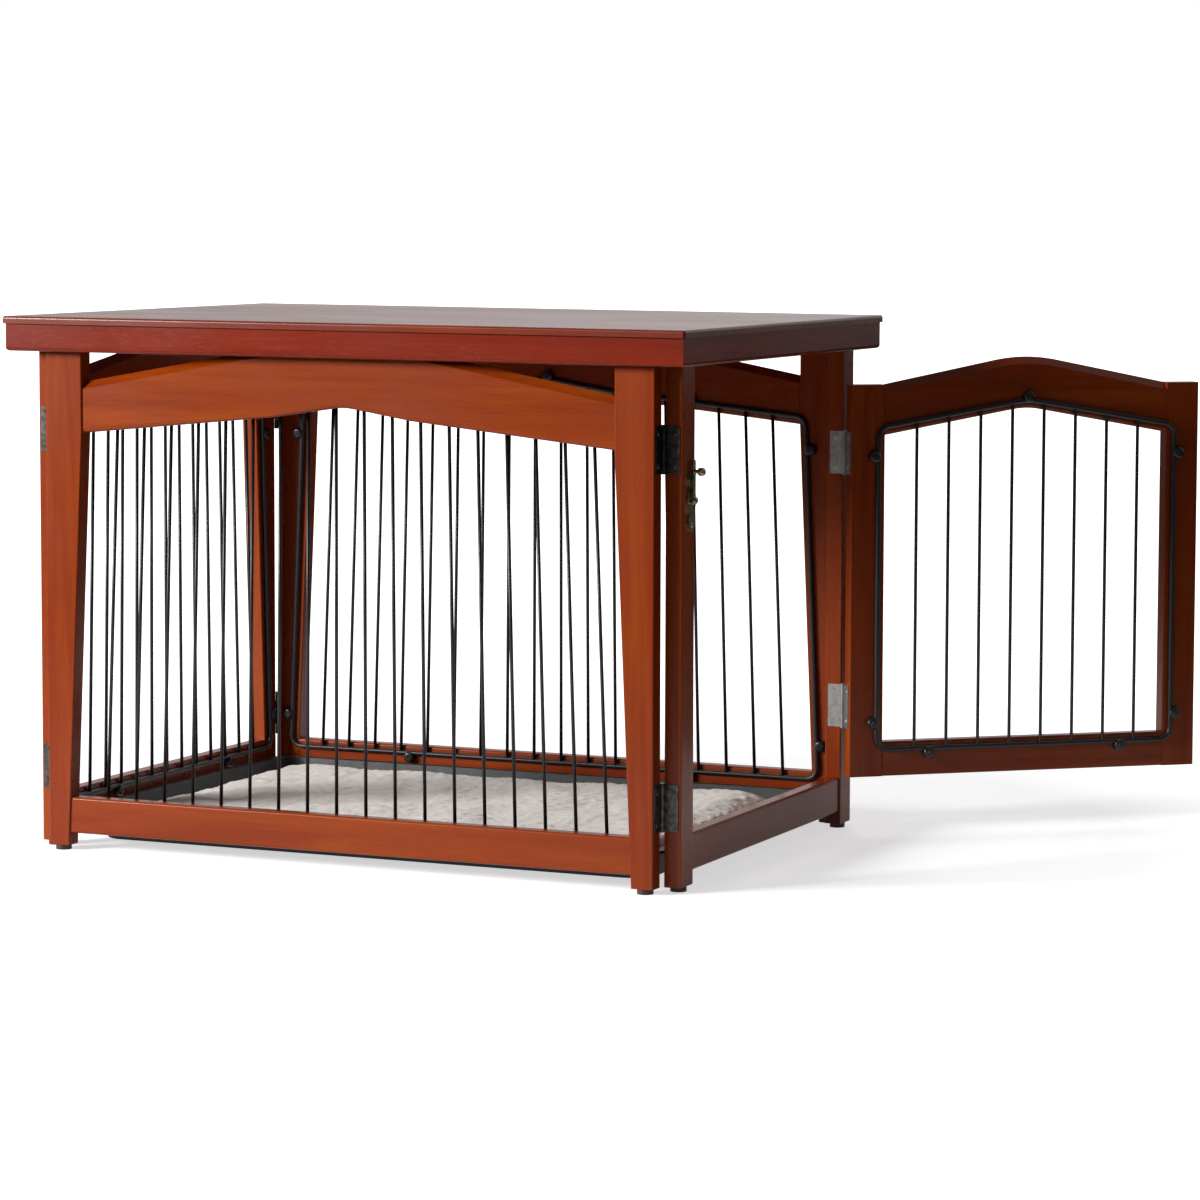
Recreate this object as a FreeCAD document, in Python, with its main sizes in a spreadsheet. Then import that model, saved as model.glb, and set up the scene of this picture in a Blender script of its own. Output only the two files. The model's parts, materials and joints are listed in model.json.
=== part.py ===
"""Dog crate end table: four hinged panels with wire grilles, a door, a tray and a lift-off table top.

Frame: millimetres, +Z up, +X along the long side towards the doorway, the front panel faces -Y.
The origin is on the floor, under the middle of the box that holds the crate with its door open.
"""
import FreeCAD, Part
import math
import os
import Sketcher

Vector = FreeCAD.Vector

# ---------------------------------------------------------------- driving dimensions
SIZES = [
    # table top
    ("total_height", 610.0),
    ("board_thickness", 8.4),
    ("board_round", 3.0),
    ("lip_overhang", 3.2),
    ("apron_height", 31.1),
    ("apron_thickness", 15.0),
    ("apron_round", 4.0),
    ("skirt_clearance", 2.5),
    # panels
    ("long_panel_width", 754.0),
    ("end_panel_width", 514.0),
    ("post_thickness", 20.0),
    ("post_round", 1.5),
    ("corner_gap", 3.0),
    ("post_top_width", 47.0),
    ("post_foot_width", 26.0),
    ("doorway_post_width", 34.0),
    ("rail_thickness", 18.0),
    ("rail_bottom", 20.0),
    ("rail_height", 41.5),
    ("rail_round", 3.0),
    ("glide_height", 6.0),
    ("glide_diameter", 18.0),
    # arched rails: how far each corner of the outline lies below the underside of the board
    ("arch_low_drop", 123.1),
    ("long_high_end_drop", 64.9),
    ("arch_top_bevel", 8.5),
    ("arch_low_round", 5.0),
    ("long_knee_reach", 85.0),
    ("long_knee_drop", 98.6),
    ("long_low_crest_drop", 85.3),
    ("long_low_curve", 80.0),
    ("long_high_crest_drop", 5.3),
    ("long_high_curve", 150.0),
    ("end_low_crest_drop", 85.0),
    ("end_low_curve", 100.0),
    ("end_high_end_drop", 57.1),
    ("end_high_crest_drop", 23.7),
    ("end_high_curve", 200.0),
    # door: its drops are counted from the foot of the apron
    ("door_open_angle", 129.0),
    ("door_gap", 3.0),
    ("door_bottom", 65.5),
    ("door_stile_drop", 40.0),
    ("door_stile_width", 41.5),
    ("door_rail_height", 41.5),
    ("door_low_drop", 100.0),
    ("door_low_crest_drop", 67.9),
    ("door_low_curve", 100.0),
    ("door_high_crest_drop", 4.3),
    ("door_high_curve", 200.0),
    # wire grilles
    ("rod_diameter", 6.0),
    ("bar_diameter", 4.0),
    ("rod_inset", 9.0),
    ("rod_bend", 14.0),
    ("long_bar_pitch", 36.8),
    ("long_bar_count", 18),
    ("end_bar_pitch", 35.0),
    ("end_bar_count", 12),
    ("door_bar_pitch", 40.0),
    ("door_bar_count", 8),
    # knob clips that hold the grilles
    ("clip_diameter", 14.0),
    ("clip_height", 9.0),
    ("clip_round", 3.5),
    ("clip_offset", 5.0),
    ("clip_play", 0.3),
    ("clip_high_drop", 152.6),
    ("clip_low", 93.0),
    ("door_clip_high_drop", 124.5),
    ("door_clip_low", 130.0),
    ("long_clip_reach", 190.0),
    ("end_clip_reach", 130.0),
    ("door_clip_reach", 122.0),
    # butt hinges
    ("hinge_height", 50.8),
    ("barrel_diameter", 5.0),
    ("pin_diameter", 2.6),
    ("pin_play", 0.05),
    ("pin_head_height", 1.2),
    ("leaf_thickness", 1.2),
    ("leaf_width", 18.6),
    ("knuckle_play", 0.3),
    ("corner_hinge_high_drop", 121.3),
    ("corner_hinge_low", 93.0),
    ("door_hinge_high_drop", 152.1),
    ("door_hinge_low", 148.5),
    # latch
    ("latch_drop", 176.6),
    ("latch_inset", 12.0),
    ("plate_length", 72.0),
    ("plate_width", 24.0),
    ("plate_waist", 14.0),
    ("plate_thickness", 2.0),
    ("lever_length", 44.0),
    ("lever_width", 7.0),
    ("lever_thickness", 2.5),
    ("lever_play", 0.2),
    ("stud_diameter", 4.0),
    ("stud_head_diameter", 8.5),
    ("stud_head_height", 3.2),
    ("knob_reach", 31.0),
    ("knob_diameter", 9.0),
    ("knob_stem_diameter", 4.5),
    ("knob_stem_length", 4.5),
    ("keeper_width", 8.0),
    ("keeper_height", 18.0),
    ("keeper_thickness", 1.2),
    ("keeper_play", 0.5),
    ("keeper_lip_height", 5.0),
    # tray, cleats and pad
    ("tray_rim_gap", 11.0),
    ("tray_rim_width", 10.0),
    ("tray_rim_height", 41.0),
    ("tray_rim_thickness", 3.0),
    ("tray_wall", 2.5),
    ("tray_bottom", 7.0),
    ("tray_slope", 13.5),
    ("tray_corner", 30.0),
    ("cleat_depth", 18.0),
    ("cleat_height", 14.0),
    ("cleat_length", 620.0),
    ("pad_gap", 5.0),
    ("pad_height", 30.0),
    ("pad_crown", 5.0),
    ("pad_draw_in", 9.0),
    ("pad_corner", 40.0),
]

doc = FreeCAD.newDocument("CrateTable")
sheet = doc.addObject("Spreadsheet::Sheet", "Sizes")
for row, (alias, number) in enumerate(SIZES, start=1):
    sheet.set(f"A{row}", alias)
    sheet.set(f"B{row}", str(number))
    sheet.setAlias(f"B{row}", alias)
doc.recompute()


class Size:
    """A length that keeps the formula it came from, so that a shape is drawn and bound in one go."""

    def __init__(self, value, text):
        self.value = float(value)
        self.text = text

    def _join(self, other, sign, result):
        other = other if isinstance(other, Size) else Size(other, repr(float(other)))
        return Size(result(self.value, other.value), f"({self.text} {sign} {other.text})")

    def __add__(self, other):
        return self._join(other, "+", lambda a, b: a + b)

    def __sub__(self, other):
        return self._join(other, "-", lambda a, b: a - b)

    def __mul__(self, other):
        return self._join(other, "*", lambda a, b: a * b)

    def __truediv__(self, other):
        return self._join(other, "/", lambda a, b: a / b)

    def __neg__(self):
        return self * -1


def size(alias):
    return Size(sheet.get(alias), f"Sizes.{alias}")


def sine(angle):
    return Size(math.sin(math.radians(angle.value)), f"sin({angle.text} * 1 deg)")


def cosine(angle):
    return Size(math.cos(math.radians(angle.value)), f"cos({angle.text} * 1 deg)")


ZERO = size("total_height") * 0

# ---------------------------------------------------------------- places worked out from the dimensions
post_t = size("post_thickness")
post_side = size("long_panel_width") / 2
end_side = size("end_panel_width") / 2
box_half_length = post_side + size("corner_gap") + post_t
box_half_depth = end_side + size("corner_gap") + post_t
apron_half_length = box_half_length + size("skirt_clearance") + size("apron_thickness")
apron_half_depth = box_half_depth + size("skirt_clearance") + size("apron_thickness")
board_half_length = apron_half_length + size("lip_overhang")
board_half_depth = apron_half_depth + size("lip_overhang")
board_bottom = size("total_height") - size("board_thickness")
apron_bottom = board_bottom - size("apron_height")
arch_low_end = board_bottom - size("arch_low_drop")
door_top = apron_bottom - size("door_stile_drop")
latch_height = board_bottom - size("latch_drop")
rail_top = size("rail_bottom") + size("rail_height")
rail_recess = post_t - size("rail_thickness")
rod_depth = post_t + size("rod_diameter") / 2

barrel_r = size("barrel_diameter") / 2
leaf_seat = size("door_gap") / 2
hinge_x = box_half_length + barrel_r
hinge_y = end_side - size("doorway_post_width") - leaf_seat
door_width = (end_side - size("doorway_post_width")) * 2 - size("door_gap") * 2
door_near = leaf_seat
door_far = leaf_seat + door_width

latch_y = -end_side + size("doorway_post_width") - size("latch_inset")
keeper_reach = hinge_y - latch_y - size("lever_length") + size("keeper_width") / 2
lever_face = size("plate_thickness") + size("lever_play")
lever_top = lever_face + size("lever_thickness")
keeper_lip = lever_top + size("keeper_play")
keeper_front = keeper_lip + size("keeper_thickness")

open_angle = size("door_open_angle")
edge_r = size("post_round")
corner_s, corner_inner, corner_outer = door_far - edge_r, barrel_r + post_t - edge_r, barrel_r + edge_r
reach_x = hinge_x + corner_s * sine(open_angle) - corner_inner * cosine(open_angle) + edge_r
reach_y = hinge_y - corner_s * cosine(open_angle) - corner_outer * sine(open_angle) + edge_r
shift_x = (board_half_length - reach_x) / 2
shift_y = (board_half_depth - reach_y) / 2

parts = {}


# ---------------------------------------------------------------- helpers
def plane_of(body, role):
    return [item for item in body.Origin.OriginFeatures if item.Role == role][0]


def set_place(item, x, y, z, turn=None, rotation=None):
    """Puts an object at a place that stays bound to the sheet."""
    if rotation is None:
        rotation = FreeCAD.Rotation(Vector(0, 0, 1), 0 if turn is None else turn.value)
    item.Placement = FreeCAD.Placement(Vector(x.value, y.value, z.value), rotation)
    for axis, amount in (("x", x), ("y", y), ("z", z)):
        item.setExpression(f"Placement.Base.{axis}", amount.text)
    if turn is not None:
        item.setExpression("Placement.Rotation.Angle", turn.text)


def world(item, x, y, z, turn=None, rotation=None):
    """The same, counted from the middle of the crate on the floor."""
    set_place(item, x + shift_x, y + shift_y, z, turn, rotation)


def hold_point(sketch, geo, pos, x, y, name):
    for kind, amount, letter in (("DistanceX", x, "x"), ("DistanceY", y, "y")):
        number = sketch.addConstraint(Sketcher.Constraint(kind, -1, 1, geo, pos, amount.value))
        sketch.renameConstraint(number, f"{name}{letter}")
        sketch.setExpression(f"Constraints.{name}{letter}", amount.text)


def rounding(before, corner, after, radius):
    """Where a rounding of this radius starts, its centre, and where it ends."""
    back = (before - corner).normalize()
    ahead = (after - corner).normalize()
    half = back.getAngle(ahead) / 2
    run = radius / math.tan(half)
    centre = corner + (back + ahead).normalize() * (radius / math.sin(half))
    return corner + back * run, centre, corner + ahead * run


def draw_loop(sketch, corners, name="p"):
    """Draws a closed outline whose corners are (x, y) or (x, y, radius), all bound to the sheet."""
    corners = [tuple(corner) + (None,) * (3 - len(corner)) for corner in corners]
    count = len(corners)
    points = [Vector(x.value, y.value, 0) for x, y, radius in corners]
    bends = {}
    for index, (x, y, radius) in enumerate(corners):
        if radius is not None:
            after = points[(index + 1) % count]
            bends[index] = rounding(points[index - 1], points[index], after, radius.value)
    sides = []
    for index in range(count):
        following = (index + 1) % count
        start = bends[index][2] if index in bends else points[index]
        end = bends[following][0] if following in bends else points[following]
        sides.append(sketch.addGeometry(Part.LineSegment(start, end), False))
    for index, (x, y, radius) in enumerate(corners):
        label = f"{name}{index}"
        before, after = sides[index - 1], sides[index]
        if radius is None:
            sketch.addConstraint(Sketcher.Constraint("Coincident", before, 2, after, 1))
            hold_point(sketch, after, 1, x, y, label)
            continue
        start, centre, end = bends[index]
        turns_left = (start - centre).cross(end - centre).z > 0
        angles = [math.atan2(spot.y - centre.y, spot.x - centre.x) for spot in (start, end)]
        if not turns_left:
            angles.reverse()
        if angles[1] < angles[0]:
            angles[1] += 2 * math.pi
        circle = Part.Circle(centre, Vector(0, 0, 1), radius.value)
        arc = sketch.addGeometry(Part.ArcOfCircle(circle, *angles), False)
        corner = sketch.addGeometry(Part.Point(points[index]), True)
        hold_point(sketch, corner, 1, x, y, label)
        for side in (before, after):
            sketch.addConstraint(Sketcher.Constraint("PointOnObject", corner, 1, side))
        first, last = (1, 2) if turns_left else (2, 1)
        sketch.addConstraint(Sketcher.Constraint("Tangent", before, 2, arc, first))
        sketch.addConstraint(Sketcher.Constraint("Tangent", arc, last, after, 1))
        number = sketch.addConstraint(Sketcher.Constraint("Radius", arc, radius.value))
        sketch.renameConstraint(number, f"{label}r")
        sketch.setExpression(f"Constraints.{label}r", radius.text)


def draw_circle(sketch, x, y, diameter, name="ring"):
    circle = Part.Circle(Vector(x.value, y.value, 0), Vector(0, 0, 1), diameter.value / 2)
    geo = sketch.addGeometry(circle, False)
    hold_point(sketch, geo, 3, x, y, name)
    number = sketch.addConstraint(Sketcher.Constraint("Diameter", geo, diameter.value))
    sketch.renameConstraint(number, f"{name}d")
    sketch.setExpression(f"Constraints.{name}d", diameter.text)


def new_body(name):
    body = doc.addObject("PartDesign::Body", name)
    body.Label = name
    return body


def new_sketch(body, role, name, offset=None):
    sketch = body.newObject("Sketcher::SketchObject", name)
    sketch.AttachmentSupport = (plane_of(body, role), [""])
    sketch.MapMode = "FlatFace"
    if offset is not None:
        sketch.AttachmentOffset = FreeCAD.Placement(Vector(0, 0, offset.value), FreeCAD.Rotation())
        sketch.setExpression("AttachmentOffset.Base.z", offset.text)
    return sketch


def add_pad(body, sketch, length, reverse=False, kind="PartDesign::Pad"):
    pad = body.newObject(kind, f"{sketch.Name}_solid")
    pad.Profile = sketch
    pad.Length = length.value
    pad.setExpression("Length", length.text)
    pad.Reversed = reverse
    sketch.Visibility = False
    doc.recompute()
    return pad


def add_fillet(body, base, radius, wanted):
    """Rounds the edges that the wanted test picks."""
    edges = [f"Edge{n}" for n, edge in enumerate(base.Shape.Edges, start=1) if wanted(edge)]
    if not edges:
        return base
    fillet = body.newObject("PartDesign::Fillet", f"{base.Name}_round")
    fillet.Base = (base, edges)
    fillet.Radius = radius.value
    fillet.setExpression("Radius", radius.text)
    doc.recompute()
    return fillet


def add_bevel(body, base, width, wanted):
    """Bevels the edges that the wanted test picks."""
    edges = [f"Edge{n}" for n, edge in enumerate(base.Shape.Edges, start=1) if wanted(edge)]
    bevel = body.newObject("PartDesign::Chamfer", f"{base.Name}_bevel")
    bevel.Base = (base, edges)
    bevel.Size = width.value
    bevel.setExpression("Size", width.text)
    doc.recompute()
    return bevel


def middle(edge):
    return edge.valueAt((edge.FirstParameter + edge.LastParameter) / 2)


def keep(name, item):
    """Files a finished sub-part under its own name."""
    item.Label = name
    parts[name] = item
    return item


def group(name, members):
    """Identical pieces that lie apart, filed as one sub-part."""
    compound = doc.addObject("Part::Compound", name)
    compound.Links = members
    return keep(name, compound)


def copy_of(master, name):
    link = doc.addObject("App::Link", name)
    link.LinkedObject = master
    return link


class Wall:
    """A standing panel: u runs along it, depth runs inwards from its outer face."""

    def __init__(self, role, sign, x, y, turn=None):
        self.role = role
        self.sign = sign
        self.x = x
        self.y = y
        self.turn = turn
        self.runs_along_x = role == "XZ_Plane"

    def place(self, item):
        world(item, self.x, self.y, ZERO, self.turn)

    def plan(self, u, depth):
        """Where a point lies in the panel's own plan view."""
        across = depth * -self.sign
        return (u, across) if self.runs_along_x else (across, u)

    def inward_is_reversed(self):
        normal = -1 if self.runs_along_x else 1
        return normal * -self.sign < 0

    def sketch(self, body, name, depth):
        offset = -depth if self.inward_is_reversed() else depth
        return new_sketch(body, self.role, name, offset)


def make_board(name, wall, corners, depth, thickness, rounds=(), bevels=()):
    """A board on edge: its outline in the wall, its thickness inwards, its long edges rounded."""
    body = new_body(name)
    sketch = wall.sketch(body, f"{name}_outline", depth)
    draw_loop(sketch, corners)
    tip = add_pad(body, sketch, thickness, wall.inward_is_reversed())
    box = tip.Shape.BoundBox
    faces = (box.YMin, box.YMax) if wall.runs_along_x else (box.XMin, box.XMax)

    def on_a_face(edge, wanted):
        spot = middle(edge)
        across = spot.y if wall.runs_along_x else spot.x
        ends = [v.Point.y if wall.runs_along_x else v.Point.x for v in edge.Vertexes]
        flat = max(ends) - min(ends) < 1e-6
        along = spot.x if wall.runs_along_x else spot.y
        return flat and min(abs(across - face) for face in faces) < 1e-6 and wanted(along, spot.z, edge)

    for width, wanted in bevels:
        tip = add_bevel(body, tip, width, lambda edge: on_a_face(edge, wanted))
    for radius, wanted in rounds:
        tip = add_fillet(body, tip, radius, lambda edge: on_a_face(edge, wanted))
    body.Tip = tip
    wall.place(body)
    return keep(name, body)


def is_upright(along, height, edge):
    box = edge.BoundBox
    return box.ZLength > 3 * max(box.XLength, box.YLength)


def is_lengthwise(along, height, edge):
    box = edge.BoundBox
    return box.ZLength < max(box.XLength, box.YLength)


# ---------------------------------------------------------------- table top
def make_table_top():
    body = new_body("top_board")
    sketch = new_sketch(body, "XY_Plane", "top_board_outline")
    length, depth = board_half_length, board_half_depth
    draw_loop(sketch, [(-length, -depth), (length, -depth), (length, depth), (-length, depth)])
    slab = add_pad(body, sketch, size("board_thickness"))
    body.Tip = add_fillet(body, slab, size("board_round"), lambda edge: middle(edge).z > 1)
    world(body, ZERO, ZERO, board_bottom)
    keep("top_board", body)

    outer_x, outer_y = apron_half_length, apron_half_depth
    inner_x, inner_y = outer_x - size("apron_thickness"), outer_y - size("apron_thickness")
    aprons = {
        "apron_front": [(-outer_x, -outer_y), (outer_x, -outer_y), (inner_x, -inner_y), (-inner_x, -inner_y)],
        "apron_right": [(outer_x, -outer_y), (outer_x, outer_y), (inner_x, inner_y), (inner_x, -inner_y)],
        "apron_back": [(outer_x, outer_y), (-outer_x, outer_y), (-inner_x, inner_y), (inner_x, inner_y)],
        "apron_left": [(-outer_x, outer_y), (-outer_x, -outer_y), (-inner_x, -inner_y), (-inner_x, inner_y)],
    }
    for name, corners in aprons.items():
        body = new_body(name)
        sketch = new_sketch(body, "XY_Plane", f"{name}_outline")
        draw_loop(sketch, corners)
        board = add_pad(body, sketch, size("apron_height"))
        start, end = corners[0], corners[1]
        outer = Vector(start[0].value + end[0].value, start[1].value + end[1].value, 0) / 2

        def is_outer_foot(edge):
            return (middle(edge) - outer).Length < 1e-3

        body.Tip = add_fillet(body, board, size("apron_round"), is_outer_foot)
        world(body, ZERO, ZERO, apron_bottom)
        keep(name, body)


# ---------------------------------------------------------------- panels
def taper(height):
    """How wide a tapered post is at this height, between its foot and the arch."""
    slope = (size("post_top_width") - size("post_foot_width")) / (arch_low_end - size("glide_height"))
    return size("post_foot_width") + slope * (height - size("glide_height"))


def make_tapered_post(name, wall, half, side):
    outer = half * side
    inner_top = (half - size("post_top_width")) * side
    inner_foot = (half - size("post_foot_width")) * side
    foot, top = size("glide_height"), board_bottom
    corners = [(outer, foot), (outer, top), (inner_top, top),
               (inner_top, arch_low_end), (inner_foot, foot)]
    make_board(name, wall, corners, ZERO, post_t, [(size("post_round"), is_upright)])


def make_straight_post(name, wall, half, side):
    outer = half * side
    inner = (half - size("doorway_post_width")) * side
    foot, top = size("glide_height"), board_bottom
    corners = [(outer, foot), (outer, top), (inner, top), (inner, foot)]
    make_board(name, wall, corners, ZERO, post_t, [(size("post_round"), is_upright)])


def make_tapered_rail(name, wall, half):
    low, high = size("rail_bottom"), rail_top
    at_low, at_high = half - taper(low), half - taper(high)
    corners = [(-at_low, low), (at_low, low), (at_high, high), (-at_high, high)]
    make_board(name, wall, corners, rail_recess, size("rail_thickness"),
               [(size("rail_round"), is_lengthwise)])


def make_straight_rail(name, wall, near, far, low, high, depth, thickness):
    corners = [(near, low), (far, low), (far, high), (near, high)]
    make_board(name, wall, corners, depth, thickness, [(size("rail_round"), is_lengthwise)])


def low_edge(centre, half, end, crest, curve, knee=None):
    """The lower edge of an arch, from its left end to its right end."""
    left = [(centre - half, end)]
    right = [(centre + half, end)]
    if knee is not None:
        reach, height = knee
        left.append((centre - reach, height))
        right.insert(0, (centre + reach, height))
    return left + [(centre, crest, curve)] + right


def make_arch_rail(name, wall, centre, half, low, high, depth, thickness):
    """An arched rail: low and high each hold the end height, the crest height and the crest's curve."""
    bottom = low_edge(centre, half, *low)
    top = [(centre + half, high[0]), (centre, high[1], high[2]), (centre - half, high[0])]

    def is_top(along, height, edge):
        return is_lengthwise(along, height, edge) and height > high[0].value

    def is_bottom(along, height, edge):
        return is_lengthwise(along, height, edge) and height < high[0].value

    make_board(name, wall, bottom + top, depth, thickness,
               [(size("arch_low_round"), is_bottom)], [(size("arch_top_bevel"), is_top)])


def make_grille(name, wall, centre, loop, bottom, pitch, count, depth):
    """A perimeter rod along the loop, with upright bars welded between its lower and upper runs."""
    rod = new_body(f"{name}_rod")
    spine = wall.sketch(rod, f"{name}_path", depth)
    draw_loop(spine, loop)
    cross_role = "YZ_Plane" if wall.runs_along_x else "XZ_Plane"
    at = centre if wall.runs_along_x else -centre
    section = new_sketch(rod, cross_role, f"{name}_section", at)
    across = depth * -wall.sign
    draw_circle(section, across, bottom, size("rod_diameter"))
    pipe = rod.newObject("PartDesign::AdditivePipe", f"{name}_pipe")
    pipe.Profile = section
    pipe.Spine = (spine, [])
    rod.Tip = pipe
    doc.recompute()

    bars = new_body(f"{name}_bars")
    foot = new_sketch(bars, "XY_Plane", f"{name}_bar_foot")
    first = centre - pitch * (count - 1) / 2
    x, y = wall.plan(first, depth)
    draw_circle(foot, x, y, size("bar_diameter"))
    bar = add_pad(bars, foot, size("total_height"))
    row = bars.newObject("PartDesign::LinearPattern", f"{name}_bar_row")
    row.Originals = [bar]
    row.Direction = (plane_of(bars, "X_Axis" if wall.runs_along_x else "Y_Axis"), [""])
    row.Length = pitch.value * (count.value - 1)
    row.setExpression("Length", (pitch * (count - 1)).text)
    row.Occurrences = int(count.value)
    row.setExpression("Occurrences", count.text)
    bars.Tip = row
    doc.recompute()

    field = new_body(f"{name}_field")
    reach = size("rod_diameter")
    outline = wall.sketch(field, f"{name}_field_outline", depth - reach / 2)
    draw_loop(outline, loop)
    field.Tip = add_pad(field, outline, reach, wall.inward_is_reversed())

    trimmed = doc.addObject("Part::Common", f"{name}_trimmed")
    trimmed.Base = bars
    trimmed.Tool = field
    grille = doc.addObject("Part::Fuse", name)
    grille.Base = rod
    grille.Tool = trimmed
    wall.place(grille)
    return keep(name, grille)


# ---------------------------------------------------------------- knob clips
def make_clip_master():
    """A round clip that laps over a rod running along X; it stands on the wall and points inwards, along +Y."""
    disc = doc.addObject("Part::Cylinder", "clip_disc")
    disc.setExpression("Radius", (size("clip_diameter") / 2).text)
    disc.setExpression("Height", size("clip_height").text)
    disc.Placement = FreeCAD.Placement(Vector(), FreeCAD.Rotation(Vector(1, 0, 0), -90))
    doc.recompute()
    dome = doc.addObject("Part::Fillet", "clip_dome")
    dome.Base = disc
    crown = size("clip_height").value
    rims = [n for n, edge in enumerate(disc.Shape.Edges, start=1)
            if edge.BoundBox.YMin > crown - 1e-6]
    radius = size("clip_round").value
    dome.Edges = [(n, radius, radius) for n in rims]
    step = doc.addObject("Part::Box", "clip_step")
    step.setExpression("Length", (size("clip_diameter") * 2).text)
    step.setExpression("Width", (size("rod_diameter") + size("clip_play") * 2).text)
    step.setExpression("Height", size("clip_diameter").text)
    rod_edge = size("clip_offset") - size("rod_diameter") / 2 - size("clip_play")
    set_place(step, -size("clip_diameter"), -size("clip_play"), rod_edge)
    clip = doc.addObject("Part::Cut", "clip_master")
    clip.Base = dome
    clip.Tool = step
    doc.recompute()
    return clip


def make_clips(name, wall, clip, depth, spots):
    """Clips at (u, height, lean): lean turns a clip so that its groove follows the rod."""
    facing = {("XZ_Plane", -1): 0, ("YZ_Plane", 1): 90, ("XZ_Plane", 1): 180, ("YZ_Plane", -1): -90}
    swing = FreeCAD.Rotation(Vector(0, 0, 1), facing[(wall.role, wall.sign)])
    members = []
    for index, (u, height, lean) in enumerate(spots):
        link = copy_of(clip, f"{name}_{index}")
        x, y = wall.plan(u, depth)
        set_place(link, x, y, height, rotation=swing * FreeCAD.Rotation(Vector(0, 1, 0), lean))
        members.append(link)
    compound = group(name, members)
    wall.place(compound)


def slope_angle(rise, run):
    return math.degrees(math.atan2(rise.value, run.value))


def clip_spots(wall, centre, sides, side_lean, low, low_rod, crest_rod, reach, run, rise):
    """The clips of one grille: two on each side, three along the arch and two along the bottom.

    sides holds (height, distance of the side rod from the centre); run and rise give the arch's slope.
    """
    turn = 1 if wall.role == "XZ_Plane" and wall.sign < 0 or wall.role == "YZ_Plane" and wall.sign > 0 else -1
    offset = size("clip_offset")
    spots = []
    for height, rod in sides:
        spots.append((centre + rod + offset, height, -(90 + side_lean) * turn))
        spots.append((centre - rod - offset, height, (90 + side_lean) * turn))
    lean = slope_angle(rise, run)
    spots.append((centre, crest_rod + offset, 180))
    if reach is not None:
        at = crest_rod - rise * (reach / run)
        spots.append((centre + reach, at + offset, 180 + lean * turn))
        spots.append((centre - reach, at + offset, 180 - lean * turn))
    for side in (-1, 1):
        spots.append((centre + low * side, low_rod - offset, 0))
    return spots


# ---------------------------------------------------------------- the four panels
def panel_arch(kind):
    if kind == "long":
        knee = (size("long_knee_reach"), board_bottom - size("long_knee_drop"))
        low = (arch_low_end, board_bottom - size("long_low_crest_drop"), size("long_low_curve"), knee)
        high_end = board_bottom - size("long_high_end_drop")
        high = (high_end, board_bottom - size("long_high_crest_drop"), size("long_high_curve"))
    else:
        low = (arch_low_end, board_bottom - size("end_low_crest_drop"), size("end_low_curve"))
        high_end = board_bottom - size("end_high_end_drop")
        high = (high_end, board_bottom - size("end_high_crest_drop"), size("end_high_curve"))
    return low, high


def grille_loop(centre, foot_side, top_side, low_rod, arch):
    """The rod's closed path: split at the middle of its lower run, where its section is drawn."""
    inset, bend = size("rod_inset"), size("rod_bend")
    end, crest, curve = arch[0] + inset, arch[1] + inset, arch[2]
    loop = [(centre, low_rod), (centre + foot_side, low_rod, bend), (centre + top_side, end, bend)]
    if len(arch) > 3:
        reach, height = arch[3]
        loop.append((centre + reach, height + inset))
    loop.append((centre, crest, curve))
    if len(arch) > 3:
        loop.append((centre - reach, height + inset))
    loop += [(centre - top_side, end, bend), (centre - foot_side, low_rod, bend)]
    return loop


def make_framed_panel(prefix, wall, half, kind, clip, low_name, high_name):
    """Two tapered posts, an arched rail, a bottom rail and the grille with its clips."""
    low, high = panel_arch(kind)
    make_tapered_post(f"{prefix}_post_{low_name}", wall, half, -1)
    make_tapered_post(f"{prefix}_post_{high_name}", wall, half, 1)
    opening_top = half - size("post_top_width")
    make_arch_rail(f"{prefix}_arch_rail", wall, ZERO, opening_top, low, high, rail_recess,
                   size("rail_thickness"))
    make_tapered_rail(f"{prefix}_bottom_rail", wall, half)

    inset = size("rod_inset")
    low_rod = rail_top - inset
    side_low = half - taper(low_rod) + inset
    side_top = opening_top + inset
    loop = grille_loop(ZERO, side_low, side_top, low_rod, low)
    pitch, count = size(f"{kind}_bar_pitch"), size(f"{kind}_bar_count")
    make_grille(f"{prefix}_grille", wall, ZERO, loop, low_rod, pitch, count, rod_depth)

    slope = (side_top - side_low) / (low[0] + inset - low_rod)
    sides = [(height, side_low + slope * (height - low_rod))
             for height in (size("clip_low"), board_bottom - size("clip_high_drop"))]
    reach = size(f"{kind}_clip_reach")
    if kind == "long":
        knee_reach, knee_height = low[3][0], low[3][1]
        run, rise = side_top - knee_reach, knee_height - low[0]
        crest_line = knee_height + inset + rise * (knee_reach / run)
    else:
        run, rise = side_top, low[1] - low[0]
        crest_line = low[1] + inset
    side_lean = slope_angle(side_low - side_top, low[0] + inset - low_rod)
    spots = clip_spots(wall, ZERO, sides, side_lean, reach, low_rod, crest_line, reach, run, rise)
    sag = low[2] * (math.hypot(1, slope_of(low)) - 1)
    spots = [(u, low[1] + inset - sag + size("clip_offset"), lean)
             if lean == 180 else (u, height, lean) for u, height, lean in spots]
    make_clips(f"{prefix}_grille_clips", wall, clip, post_t, spots)


def slope_of(low):
    """The slope beside the crest of an arch's lower edge."""
    if len(low) > 3:
        return (low[1].value - low[3][1].value) / low[3][0].value
    return 0.175


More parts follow.
